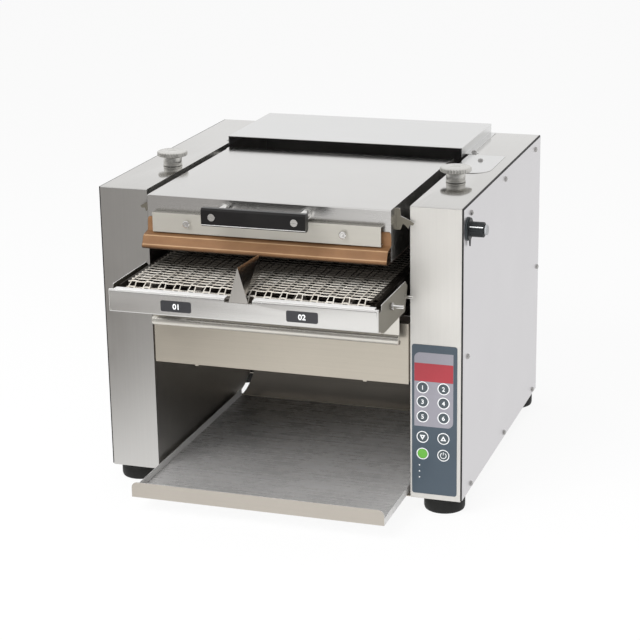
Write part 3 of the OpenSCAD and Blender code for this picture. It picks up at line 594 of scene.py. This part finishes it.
# plain inner parts keep their solids
innerFinishes = {
    # the lower platen is darkened: baked-on soil and painted shade
    "lower_platen": "bakedSteel", "upper_platen": "castAluminium", "platen_insulation": "mineralWool",
    "idler_rollers": "darkSteel", "drive_shaft": "turnedSteel", "belt_sprockets": "turnedSteel",
    "drive_bearings": "darkSteel", "motor_sprocket": "turnedSteel", "gearmotor": "motorPaint",
    "drive_chain": "darkSteel", "control_board": "boardGreen", "selector_switch": "selectorBlack",
    "hinge_shaft": "brightSteel", "left_lift_block": "darkSteel", "right_lift_block": "darkSteel",
    "display_window": "displayRed",
}
for innerNode, innerFinish in innerFinishes.items():
    innerMesh = frame["nodes"][innerNode].data
    innerMesh.materials.clear()
    innerMesh.materials.append(finishes[innerFinish])


# wire belt
belt = {
    "rodPitch": 12.68, "rodRadius": 0.6, "rodSides": 8,
    "firstRod": -17.0,  # along the loop from the top of the front turn
    "wavePitch": 24.5, "firstWave": -186.2,
    "frontHalf": 5.7, "backHalf": 3.9,  # half widths of the narrow squares
    "strip": 1.65, "height": 0.95, "ahead": 2.2, "behind": 1.1, "inside": 1.5,
    "section": ((1, 0.2), (0.55, 1), (-0.55, 1), (-1, 0.2), (-1, -1), (1, -1)),  # rounded on top
}


def wireBelt():
    low, high = corners("conveyor_belt")
    outer = (high.z - low.z) / 2
    middle = Vector((0, 0, (high.z + low.z) / 2))
    frontAxis, rearAxis = low.y + outer, high.y - outer
    radius = outer - belt["inside"]
    run, turn = rearAxis - frontAxis, pi * radius
    rods = round(2 * (run + turn) / belt["rodPitch"])
    pitch = 2 * (run + turn) / rods

    def onLoop(s):  # place on the loop, s from the top of the front turn
        s %= 2 * (run + turn)
        sign, start, end = (1, frontAxis, rearAxis) if s < run + turn else (-1, rearAxis, frontAxis)
        s %= run + turn  # the lower half is the upper one turned over
        if s < run:
            return Vector((0, start + sign * s, middle.z + sign * radius))
        angle = (s - run) / radius
        return Vector((0, end, middle.z)) + sign * radius * Vector((0, sin(angle), cos(angle)))

    shape = Shape()
    half, tall = belt["strip"] / 2, belt["height"] / 2
    wave, first = belt["wavePitch"], belt["firstWave"]
    for row in range(rods):
        start, end = (onLoop(belt["firstRod"] + (row + k) * pitch) for k in (0, 1))
        forward = (end - start).normalized()
        length = (end - start).length
        outward = Vector((0, -forward.z, forward.y))
        inner = Vector((0, min(max(start.y, frontAxis), rearAxis), middle.z))
        if outward.dot((start + end) / 2 - inner) < 0:
            outward = -outward
        front, back = -belt["ahead"], length + belt["behind"]
        path = [(low.x + half - 1, front), (low.x + half, front)]  # x and distance along the row
        for k in range(round((high.x - low.x) / wave)):
            x = first + k * wave
            path += [(x - belt["frontHalf"], front), (x - belt["backHalf"], back),
                     (x + belt["backHalf"], back), (x + belt["frontHalf"], front)]
        path += [(high.x - half, front), (high.x - half + 1, front)]
        path = [Vector(spot) for spot in path]
        rings = []
        for before, here, after in zip(path, path[1:], path[2:]):
            one, two = (here - before).normalized(), (after - here).normalized()
            side = Vector((-one.y, one.x)) + Vector((-two.y, two.x))
            side = side.normalized() * half / max(0.5, cos(one.angle(two) / 2))
            ring = []
            for across, up in belt["section"]:
                spot = here + side * across
                ring.append(shape.mesh.verts.new(
                    Vector((spot.x, 0, 0)) + start + forward * spot.y + outward * tall * up))
            rings.append(ring)
        for before, after in zip(rings, rings[1:]):
            for i in range(len(before)):
                shape.mesh.faces.new((before[i - 1], before[i], after[i], after[i - 1]))
        shape.mesh.faces.new(rings[0])
        shape.mesh.faces.new(rings[-1])
        rod = belt["rodRadius"]
        shape.lathe("x", (start.y, start.z), [(rod, low.x), (rod, high.x)], belt["rodSides"])
    shape.standFor("conveyor_belt", "wire_belt", "heatedAndShadedWire", sharp=50)


wireBelt()
print("wire belt done")


# release sheet
release = {
    "thickness": 0.45, "clear": 0.35, "narrower": 0.4, "clamped": 9, "ripple": 0.35, "steps": 64,
    "front": (  # places ahead of the housing and below the clamp bar's edge
        (0.4, 0.2), (2.2, 1.1), (14.5, 3.6), (18.2, 4.5), (19.6, 6.0), (21.6, 10.5), (24.3, 16.2),
        (26.0, 17.8), (27.2, 19.6), (27.2, 22.0), (25.4, 24.2), (22.4, 25.2), (16, 25.6)),
    "free": (4, 14),  # the first and last place on the route that hang free
}


def releaseSheet():
    low, high = corners("release_sheet")
    housing, bar = corners("platen_housing"), corners("clamp_bar")
    under = low.z + release["clear"]
    face = housing[0].y - release["clear"]
    lip = bar[0].z
    route = [(face, bar[1].z - release["clamped"]), (face, lip + 2)]
    route += [(face - ahead, lip - below) for ahead, below in release["front"]]
    route += [(face - 3, under + 0.1), (face + 12, under), (high.y - 1, under)]
    shape = Shape()
    steps, inset = release["steps"], release["narrower"]
    firstFree, lastFree = release["free"]
    columns = []
    for step in range(steps + 1):
        x = low.x + inset + (high.x - low.x - 2 * inset) * step / steps
        column = []
        for i, (y, z) in enumerate(route):
            free = 1.0 if firstFree <= i <= lastFree else 0.0
            ripple = noise.noise(Vector((x / 70, i / 5, 3.1))) * release["ripple"] * free
            column.append((x, y + ripple * 0.8, z + ripple * 0.5))
        columns.append(column)
    layers = []
    for side in (0, 1):
        grid = []
        for column in columns:
            line = []
            for i, (x, y, z) in enumerate(column):
                before, after = column[max(0, i - 1)], column[min(len(column) - 1, i + 1)]
                along = Vector((0, after[1] - before[1], after[2] - before[2])).normalized()
                out = Vector((0, -along.z, along.y)) * release["thickness"] * (side - 0.5)
                line.append(shape.mesh.verts.new(Vector((x, y, z)) + out))
            grid.append(line)
        layers.append(grid)
        for a in range(steps):
            for b in range(len(route) - 1):
                shape.mesh.faces.new((grid[a][b], grid[a + 1][b], grid[a + 1][b + 1], grid[a][b + 1]))
    last = len(route) - 1
    rim = [(a, 0) for a in range(steps)] + [(steps, b) for b in range(last)]
    rim += [(a, last) for a in range(steps, 0, -1)] + [(0, b) for b in range(last, 0, -1)]
    for i in range(len(rim)):
        (a, b), (c, d) = rim[i - 1], rim[i]
        shape.mesh.faces.new((layers[0][a][b], layers[0][c][d], layers[1][c][d], layers[1][a][b]))
    made = shape.standFor("release_sheet", "release_cloth", "coatedCloth", sharp=70)
    smooth = made.modifiers.new("smooth", "SUBSURF")
    smooth.levels = smooth.render_levels = 1
    length = sum((Vector(b) - Vector(a)).length for a, b in zip(route, route[1:]))
    length * mm


releaseSheet()
print("release sheet done")


# screws
screws = {  # radii and heights over the sheet
    "stem": ((0, -5), (2, -5), (2, 0)),
    "washer": ((4.7, 0), (4.8, 0.4), (4.5, 0.9), (0, 0.9)),
    "hexagon": ((0, 0.6), (4, 0.6), (4, 2.5), (3.1, 3.0), (1.6, 3.08), (1.5, 2.6), (0, 2.6)),
    "pan": ((4.4, 0), (4.3, 1.2), (3.4, 2.1), (2, 2.4), (1.3, 2.4), (1.2, 1.4), (0, 1.4)),
    "nut": ((3.06, 0), (5.2, 0), (5.8, 0.4), (5.8, 4.2), (5.2, 4.6), (3.06, 4.6), (3.06, 0)),
    "hexagonFlats": (3.2, 3.46), "nutFlats": (4, 5.02),  # from which radius, half across the flats
    "hexTall": 3.1, "panTall": 2.4,
}


def raised(profile, base, out=1, rim=0):  # a profile on a face, out from it, in from any rim
    return [(rim - across if rim else across, base + out * height) for across, height in profile]


def hexagonal(least, flat, start=-inf):  # gives six flats to radii over the least one
    def flats(radius, along, angle):
        if radius <= least or along <= start:
            return radius
        return min(radius, flat / cos((angle + pi / 6) % (pi / 3) - pi / 6))
    return flats


def hexHead(shape, plane, centre, base, out):  # washer, six flats and a rounded top
    shape.lathe(plane, centre, raised(screws["stem"] + screws["washer"], base, out), 32)
    shape.lathe(plane, centre, raised(screws["hexagon"], base, out), 36,
                hexagonal(*screws["hexagonFlats"]))


def panHead(shape, plane, centre, base, out):  # low round head at the back
    shape.lathe(plane, centre, raised(screws["stem"] + screws["pan"], base, out), 32)


def hexNut(shape, centre, base, out):  # on a stud along x
    shape.lathe("x", centre, raised(screws["nut"], base, out), 48,
                hexagonal(*screws["nutFlats"]))


def cabinetScrews():
    sidePlane = corners("right_side_panel")[1].x
    backPlane = corners("rear_panel")[1].y
    topPlane = corners("right_cabinet")[1].z
    hexTall, panTall = screws["hexTall"], screws["panTall"]
    shape = Shape()
    for low, high in loosePieces("cabinet_screws"):
        centre = (low + high) / 2
        out, outer, inner = (1, high.x, low.x) if centre.x > 0 else (-1, low.x, high.x)
        if high.y < 0:  # the shelf's two
            hexNut(shape, (centre.y, centre.z), inner, out)
        elif high.y > backPlane + 1:
            panHead(shape, "y", (centre.x, centre.z), high.y - panTall, 1)
        elif high.z > topPlane + 2 and abs(centre.x) < sidePlane - 8:
            hexHead(shape, "z", (centre.x, centre.y), high.z - hexTall, 1)
        else:
            hexHead(shape, "x", (centre.y, centre.z), outer - out * hexTall, out)
    shape.standFor("cabinet_screws", "panel_screws", "screwSteel", sharp=30)


cabinetScrews()


# seams between the cabinets and their side panels, with black strips that paint the shadow of their
# deep gaps
def seamShadowStrips():
    setup = {"proud": 0.35, "deep": 2.35, "inset": 0.6, "clear": 0.02, "edge": 0.15}
    for side, name in ((-1, "left"), (1, "right")):
        cabinet, panel = corners(name + "_cabinet"), corners(name + "_side_panel")
        inner = cabinet[1].x if side > 0 else -cabinet[0].x
        outer = (panel[1].x if side > 0 else -panel[0].x) - setup["inset"]
        top, bottom, back = cabinet[1].z, panel[0].z, panel[1].y
        shape = Shape()
        x0, x1 = sorted((side * (inner + setup["clear"]), side * outer))
        front, deep = setup["proud"], setup["deep"]
        shape.slab("x", [[(front, bottom), (deep, bottom), (deep, top - deep), (back, top - deep),
                          (back, top - front), (front, top - front)]], x0, x1)
        shape.piece(name + "_seam_shadow_strip", "gasket", "frame", "foot_rubber", bevel=setup["edge"])


seamShadowStrips()


# feet
feet = {  # places in from the rim, with heights over the bench and below the top
    "low": ((9, 1.5), (8, 0), (2.4, 0), (1.2, 0.7), (0.5, 2.4), (0, 4.5)),
    "high": ((0, 7.5), (0.5, 6.6), (0.5, 5.8), (0, 5), (0.3, 2.4), (1.4, 0.5), (2.4, 0)),
    "steps": 72,
}


def rubberFeet():
    shape = Shape()
    for low, high in loosePieces("feet"):
        centre, r, tall = (low + high) / 2, (high.x - low.x) / 2, high.z
        profile = [(0, feet["low"][0][1])] + raised(feet["low"], 0, 1, r)
        profile += raised(feet["high"], tall, -1, r) + [(0, tall)]
        shape.lathe("z", (centre.x, centre.y), profile, feet["steps"])
    shape.standFor("feet", "rubber_feet", "rubber", sharp=40)


rubberFeet()
print("feet and screws done")


# height knobs
knobs = {
    "knurls": 32, "knurlDepth": 1.0, "knurlFade": 1.2, "knurlSteps": 8,
    "screw": ((5, 0), (6, 1.2)),  # radii and heights over its lower end, then over the cabinet
    "stem": ((6, -5.6), (10, -5.4), (10, -1.6), (6, -1.5), (6, 0.3)),
    "collar": ((15.2, 0.3), (16, 0.9), (16, 3.2), (15.5, 3.7), (14.4, 3.75), (14.4, 4.6),
               (15.3, 4.7), (15.45, 5.6), (15.4, 13.2), (15.0, 14.2)),
    "wheelLow": ((3.2, 16.6), (1.3, 17.0), (0, 18.1)),  # in from the rim, over the cabinet
    "wheelHigh": ((0, 1.4), (1.3, 0.25), (2.2, 0)),  # in from the rim, below the top
    "dish": ((7.5, 0), (6.8, -0.5), (0, -0.5)),
}


def heightKnob(side):
    name = side + "_knob"
    low, high = corners(name)
    centre = (low + high) / 2
    rim = (high.x - low.x) / 2
    top, cabinetTop = high.z, corners(side + "_cabinet")[1].z

    def knurl(radius, along, angle):
        inner = rim - knobs["knurlFade"]
        if radius < inner:
            return radius
        notch = min(1.0, max(0.0, 0.5 - 1.6 * cos(knobs["knurls"] * angle)))
        return radius - knobs["knurlDepth"] * notch * (radius - inner) / knobs["knurlFade"]

    profile = [(0, low.z)] + raised(knobs["screw"], low.z)
    profile += raised(knobs["stem"] + knobs["collar"], cabinetTop)
    profile += raised(knobs["wheelLow"], cabinetTop, 1, rim)
    profile += raised(knobs["wheelHigh"], top, -1, rim) + raised(knobs["dish"], top)
    Shape().lathe("z", (centre.x, centre.y), profile, knobs["knurls"] * knobs["knurlSteps"],
                  knurl).standFor(name, name + "_turned", "knobMetal", sharp=28)


for knobSide in ("left", "right"):
    heightKnob(knobSide)
print("height knobs done")


# handle and clamp screws
handle = {
    "worn": 1.6,  # the grip's lower front bevel carries a painted highlight above this height
    "stud": ((0, 0.5), (2.2, 0.4), (2.6, 0), (4.9, 0), (5.7, 0.5), (6, 1.3), (6, 5.2), (5.4, 5.5),
             (5.4, 6.95), (2.5, 7)),  # radii and places behind its face
}


def handleParts():
    worn = corners("handle_grip")[0].z + handle["worn"]
    grip = Shape().copy("handle_grip")
    everything = grip.mesh.verts[:] + grip.mesh.edges[:] + grip.mesh.faces[:]
    bmesh.ops.bisect_plane(grip.mesh, geom=everything, plane_co=(0, 0, worn), plane_no=(0, 0, 1))
    grip.standFor("handle_grip", "grip_bar", "grip", bevel=0.4, others={
        # the lower front bevel takes the pale finish: a painted highlight
        "wornEdge": lambda middle, normal: normal.y < -0.3 and normal.z < -0.3 and middle.z > worn})
    copied("handle_posts", "grip_posts", "brightSteel", 0.5)
    copied("handle_screws", "grip_screws", "brightSteel", 0.35)
    shape = Shape()
    for low, high in loosePieces("clamp_screws"):
        centre = (low + high) / 2
        profile = raised(handle["stud"], low.y) + [(2.5, high.y), (0, high.y)]
        shape.lathe("y", (centre.x, centre.z), profile, 40)
    shape.standFor("clamp_screws", "clamp_studs", "brightSteel", sharp=28)
    copied("idler_shaft", "idler_axle", "darkSteel", 0.4)


handleParts()
print("handle done")


# numerals and small print
figures = {"depth": 0.12, "bolder": 0.018}


def numeral(text, centre, size, name, body):  # a plain figure on a face towards the front
    words = bpy.data.curves.new(name + "_outline", "FONT")
    words.body, words.size = text, size * mm
    words.align_x, words.align_y = "CENTER", "CENTER"
    words.extrude = figures["depth"] * mm / 2
    words.offset = size * mm * figures["bolder"]
    outline = newObject(name + "_outline", words)
    bpy.context.view_layer.update()
    filled = outline.evaluated_get(bpy.context.evaluated_depsgraph_get())
    data = bpy.data.meshes.new_from_object(filled)
    bpy.data.objects.remove(outline)
    data.transform(Matrix.Rotation(pi / 2, 4, "X"))
    xs, zs = [v.co.x for v in data.vertices], [v.co.z for v in data.vertices]
    shift = at(*centre) - Vector(((min(xs) + max(xs)) / 2, 0, (min(zs) + max(zs)) / 2))
    data.transform(Matrix.Translation(shift))
    data.name = name
    made = newObject(name, data)
    data.materials.clear()
    data.materials.append(finishes["printWhite"])
    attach(made, body)


def circle(x, z, r, steps=40):
    return around(x, z, r, 0, 360, steps)[:-1]


def box(x0, z0, x1, z1, radii=(0, 0, 0, 0)):  # radii: low left, low right, high right, high left
    outline = []
    boxCorners = ((x0, z0, 1, 1), (x1, z0, -1, 1), (x1, z1, -1, -1), (x0, z1, 1, -1))
    for (x, z, sx, sz), r, start in zip(boxCorners, radii, (180, 270, 0, 90)):
        outline += around(x + sx * r, z + sz * r, r, start, 90, 8) if r else [(x, z)]
    return outline


keypadSetup = {
    "ring": (8.35, 9.7), "panelRadius": 9.5, "panelLow": 147.6, "panelHigh": 269.3, "panelWider": 0.3,
    "skin": 0.06, "keyGap": 0.25, "windowGap": 0.1, "figure": 10.0,
    "dome": ((1.6, 0), (0.5, 0.15), (0, 0.5), (0, 1.05)),  # in from the key's rim, behind its front
    "domeDip": 0.08, "domeStem": 2.5,
    "arrow": (4.6, 3.4, 4.8), "arrowHole": (1.9, 2.0, 1.2),  # half width, foot and tip from the middle
    "powerArcs": ((5.2, 118, 300), (4.2, 422, -300)), "powerSteps": 20,  # radii, degrees
    "powerBar": (0.5, 1, 5.8),  # half width, foot and tip over the middle
    "markFace": (-0.08, 0.1),  # a mark's front and back from the key's front
    "lamps": 3, "firstLamp": 48, "lampPitch": 10.2, "lampRadius": 1.1, "lampAside": 5,
}


def keyMark(n, x, front, z):
    mark, setup = n.split("_")[1], keypadSetup
    markFront, markBack = (front + step for step in setup["markFace"])
    if mark.isdigit():
        numeral(mark, (x, front - 0.02, z), setup["figure"], n + "_figure", n)
    elif mark in ("down", "up"):
        s = -1 if mark == "down" else 1
        loops = [[(x - half, z - s * foot), (x + half, z - s * foot), (x, z + s * tip)]
                 for half, foot, tip in (setup["arrow"], setup["arrowHole"])]
        Shape().slab("y", loops, markFront, markBack).piece(
            n + "_arrow", "printWhite", n, "keypad_film")
    elif mark == "power":
        arc = [spot for r, start, sweep in setup["powerArcs"]
               for spot in around(x, z, r, start, sweep, setup["powerSteps"])]
        half, foot, tip = setup["powerBar"]
        bar = box(x - half, z + foot, x + half, z + tip)
        Shape().slab("y", [arc], markFront, markBack).slab("y", [bar], markFront, markBack).piece(
            n + "_symbol", "printWhite", n, "keypad_film")


def keypad():
    low, high = corners("keypad_overlay")
    face, setup = low.y, keypadSetup
    keys = {n: corners(n) for n in bodyOf if n.startswith("key_")}
    spots = {n: ((a.x + b.x) / 2, (a.z + b.z) / 2, (b.x - a.x) / 2) for n, (a, b) in keys.items()}
    copied("keypad_overlay", "overlay_film", "overlaySlate", 0.2)
    (left, y, foot), (right, y, head) = corners("display_window")
    gap, wider, big, skin = (setup[k] for k in ("windowGap", "panelWider", "panelRadius", "skin"))
    holes = [circle(x, z, r + setup["keyGap"]) for x, z, r in spots.values() if z > setup["panelLow"]]
    holes.append(box(left - gap, foot - gap, right + gap, head + gap))
    outline = box(left - wider, setup["panelLow"], right + wider, setup["panelHigh"], (0, big, 0, big))
    Shape().slab("y", [outline] + holes, face - skin, face - 0.01).piece(
        "overlay_lilac_print", "overlayLilac", "frame", "keypad_film")
    rings = Shape()
    for x, z, r in spots.values():
        rings.slab("y", [circle(x, z, setup["ring"][1]), circle(x, z, setup["ring"][0])],
                   face - skin * 2, face - 0.02)
    rings.piece("overlay_key_rings", "printWhite", "frame", "keypad_film")
    for n, (x, z, r) in spots.items():
        front, back = keys[n][0].y, keys[n][1].y
        shoulder = front + setup["dome"][-1][1]
        profile = [(0, front + setup["domeDip"])] + raised(setup["dome"], front, 1, r)
        profile += [(setup["domeStem"], shoulder), (setup["domeStem"], back), (0, back)]
        Shape().lathe("y", (x, z), profile, 48).standFor(
            n, n + "_dome", "keyGreen" if n == "key_start" else "keyDark", sharp=30)
        keyMark(n, x, front, z)
    lamps = Shape()
    for row in range(setup["lamps"]):
        z = low.z + setup["firstLamp"] - row * setup["lampPitch"]
        lamps.lathe("y", (spots["key_start"][0] - setup["lampAside"], z), [
            (0, face - 0.1), (setup["lampRadius"], face - 0.1), (setup["lampRadius"], face - 0.02)], 20)
    lamps.piece("overlay_marks", "printWhite", "frame", "keypad_film")


keypad()


def shelfLabels():
    setup = {"room": 0.13, "figure": 12, "figureBack": 0.06, "edge": 0.25}
    shape, front = Shape().copy("shelf_labels"), corners("shelf_labels")[0].y
    for vert in shape.mesh.verts:  # room for the figures
        if vert.co.y < front + 0.1:
            vert.co.y += setup["room"]
    shape.standFor("shelf_labels", "lane_labels", "labelDark", bevel=setup["edge"])
    labels = sorted(loosePieces("shelf_labels"), key=lambda ends: ends[0].x)
    for number, (low, high) in enumerate(labels, 1):
        centre = (low + high) / 2
        numeral(f"0{number}", (centre.x, low.y + setup["figureBack"], centre.z), setup["figure"],
                f"lane_figure_{number}", "frame")


shelfLabels()
print("keypad and labels done")


# selector
selectorSetup = {
    "plate": ((6, 0), (17.6, 0), (18.3, 0.5), (18.3, 1.3), (17.7, 1.95), (6, 1.95), (6, 0)),
    "gap": 2.3,  # from the cabinet's side to the knob's flange
    "flange": ((0, -18), (3, -18), (3, 0), (17, 0), (17.5, 0.5), (17.5, 1.4), (17, 1.95),
               (12.4, 2.1), (11.7, 3)),
    "barrel": ((11.7, -5.6), (11.2, -5), (10.1, -4.6), (8.2, -4.55), (8.2, -3.4), (0, -3.4)),
    "cap": ((0, -4), (8, -4), (8, -0.8), (7.3, 0), (0, 0)),
    "pointer": ((-3.4, -15), (3.4, -15), (0.4, -26.6), (0, -27), (-0.4, -26.6)), "pointerThick": 2,
    "flutes": 12, "fluteDepth": 0.7, "fluted": (10.2, 12), "flutesFrom": 4.5,
    "lineAngle": 150, "line": ((10.6, -0.75), (11.95, -0.75), (11.95, 0.75), (10.6, 0.75)),
}


def selector():
    setup = selectorSetup
    plate, knob = corners("selector_escutcheon"), corners("selector_knob")
    y, z = (plate[0].y + plate[1].y) / 2, (plate[0].z + plate[1].z) / 2
    wall, end = plate[0].x, knob[1].x
    Shape().lathe("x", (y, z), raised(setup["plate"], wall), 72).standFor(
        "selector_escutcheon", "selector_plate", "escutcheonGrey", sharp=30)

    def flutes(radius, along, angle):
        inside, outside = setup["fluted"]
        if not inside < radius < outside or along < wall + setup["flutesFrom"]:
            return radius
        return radius - setup["fluteDepth"] * max(0, cos(setup["flutes"] * angle)) ** 2
    base = wall + setup["gap"]
    profile = raised(setup["flange"], base) + raised(setup["barrel"], end)
    knobShape = Shape().lathe("x", (y, z), profile, 144, flutes)
    knobShape.slab("x", [[(y + across, z + up) for across, up in setup["pointer"]]],
                   base, base + setup["pointerThick"])
    knobShape.standFor("selector_knob", "selector_body", "selectorBlack", sharp=30)
    Shape().lathe("x", (y, z), raised(setup["cap"], end), 48).piece(
        "selector_cap", "capGrey", "selector_knob", "black_plastic", sharp=30)
    angle = radians(setup["lineAngle"])  # the line looks up and to the front
    spoke = Vector((cos(angle), sin(angle)))
    side = Vector((-sin(angle), cos(angle)))
    quad = [tuple(Vector((y, z)) + spoke * r + side * w) for r, w in setup["line"]]
    Shape().slab("x", [quad], base + 2.2, end - 5.2).piece(
        "selector_line", "printWhite", "selector_knob", "keypad_film")


selector()


# cord gland
gland = {
    "body": ((5, -9), (11, -9), (11, -2), (8, -2), (8, 0), (13, 0), (13, 1), (13, 5), (9.5, 5.4),
             (9.5, 8), (9.1, 8.5), (9.5, 9)),  # radii and places behind the rear panel
    "end": ((9.2, -1), (8.4, 0), (5.2, 0), (5, -1)),
    "nutFlats": (10, 11.2), "nutFrom": 1,
}


def cordGland():
    low, high = corners("cord_gland")
    x, z = (low.x + high.x) / 2, (low.z + high.z) / 2
    back = corners("rear_panel")[1].y
    nut = hexagonal(*gland["nutFlats"], back + gland["nutFrom"])
    profile = raised(gland["body"], back) + raised(gland["end"], high.y)
    Shape().lathe("y", (x, z), profile + profile[:1], 72, nut).standFor(
        "cord_gland", "gland_body", "selectorBlack", sharp=30)


cordGland()
print("selector and gland done")


# floor, world and lamps
studio = {
    "floor": 14.0, "floorColour": (0.94, 0.94, 0.94), "floorWhite": 0.9, "skyLight": 0.5,
    # the steel mirrors a dim patch of floor ahead on the left, which fades out over these metres
    "dimColour": (0.09, 0.072, 0.055), "dimSide": (-0.68, -0.2), "dimAhead": (-0.8, 0.1),
    "dimFar": (-1.6, -1.1), "dimFarShare": 0.25,
    # and a dim room ahead
    "roomDim": 0.26, "roomTilt": 0.9, "roomFade": (-0.7, 0.2),
    "lamps": {  # place, aim, size, power
        "key": ((-900, -1900, 2300), (0, 100, 250), 1.7, 62),
        "fill": ((500, -2400, 480), (0, 200, 130), 1.3, 34),
        "top": ((0, 300, 2900), (0, 250, 400), 2.2, 16),
    },
}


class Sky(Paint):  # the world's own nodes
    def __init__(self, world):
        world.use_nodes = True
        self.tree = world.node_tree
        self.tree.nodes.clear()
        self.output = self.tree.nodes.new("ShaderNodeOutputWorld")


def rayKinds(paint):
    rays = paint.tree.nodes.new("ShaderNodeLightPath")
    camera, glossy, passing = (Wire(paint, rays.outputs[kind]) for kind in
                               ("Is Camera Ray", "Is Glossy Ray", "Is Transmission Ray"))
    return camera + passing, glossy


def floorAndWorld():
    size = studio["floor"]
    data = bpy.data.meshes.new("floor")
    data.from_pydata([(x, y, 0) for x, y in box(-size, -size, size, size)], [], [(0, 1, 2, 3)])
    newObject("floor", data)
    paint = Paint("floorPaint", Roughness=0.9, Base_Color=studio["floorColour"])
    seen, mirrored = rayKinds(paint)
    side, ahead = paint.axes(paint.place())[:2]
    far = studio["dimFarShare"]
    dim = (1 - side.between(*studio["dimSide"])) * (1 - ahead.between(*studio["dimAhead"]))
    level = seen + mirrored * (1 - dim * (1 - far + far * ahead.between(*studio["dimFar"])))
    glow = paint.node("Emission", None, {
        "Color": paint.mix(level, studio["dimColour"], (1, 1, 1)), "Strength": 1.0})
    blend = paint.node("MixShader", None, {
        0: (seen + mirrored) * studio["floorWhite"], 1: Wire(paint, paint.shader.outputs[0]),
        2: glow})
    paint.tree.links.new(blend.socket, paint.output.inputs[0])
    data.materials.append(paint.material)
    bpy.context.scene.world = bpy.data.worlds.new("studio")
    sky = Sky(bpy.context.scene.world)
    seen, mirrored = rayKinds(sky)
    ahead, above = sky.axes(sky.node("TexCoord", output="Generated"))[1:]
    room = (ahead + studio["roomTilt"] * above).between(*studio["roomFade"])
    level = seen + mirrored * (studio["roomDim"] + (1 - studio["roomDim"]) * room)
    level = level + (1 - seen - mirrored) * studio["skyLight"]
    white = sky.node("Background", None, {"Color": (1, 1, 1), "Strength": level})
    sky.tree.links.new(white.socket, sky.output.inputs[0])


floorAndWorld()
for lampName, (lampPlace, lampAim, lampSize, lampPower) in studio["lamps"].items():
    lamp = bpy.data.lights.new(lampName, "AREA")
    lamp.energy, lamp.size = lampPower, lampSize
    lampObject = newObject(lampName, lamp)
    lampObject.location = at(*lampPlace)
    lampObject.rotation_euler = (at(*lampAim) - at(*lampPlace)).to_track_quat("-Z", "Y").to_euler()
    lampObject.visible_glossy = False  # steel mirrors the floor and the room, not the lamps
print("studio done")
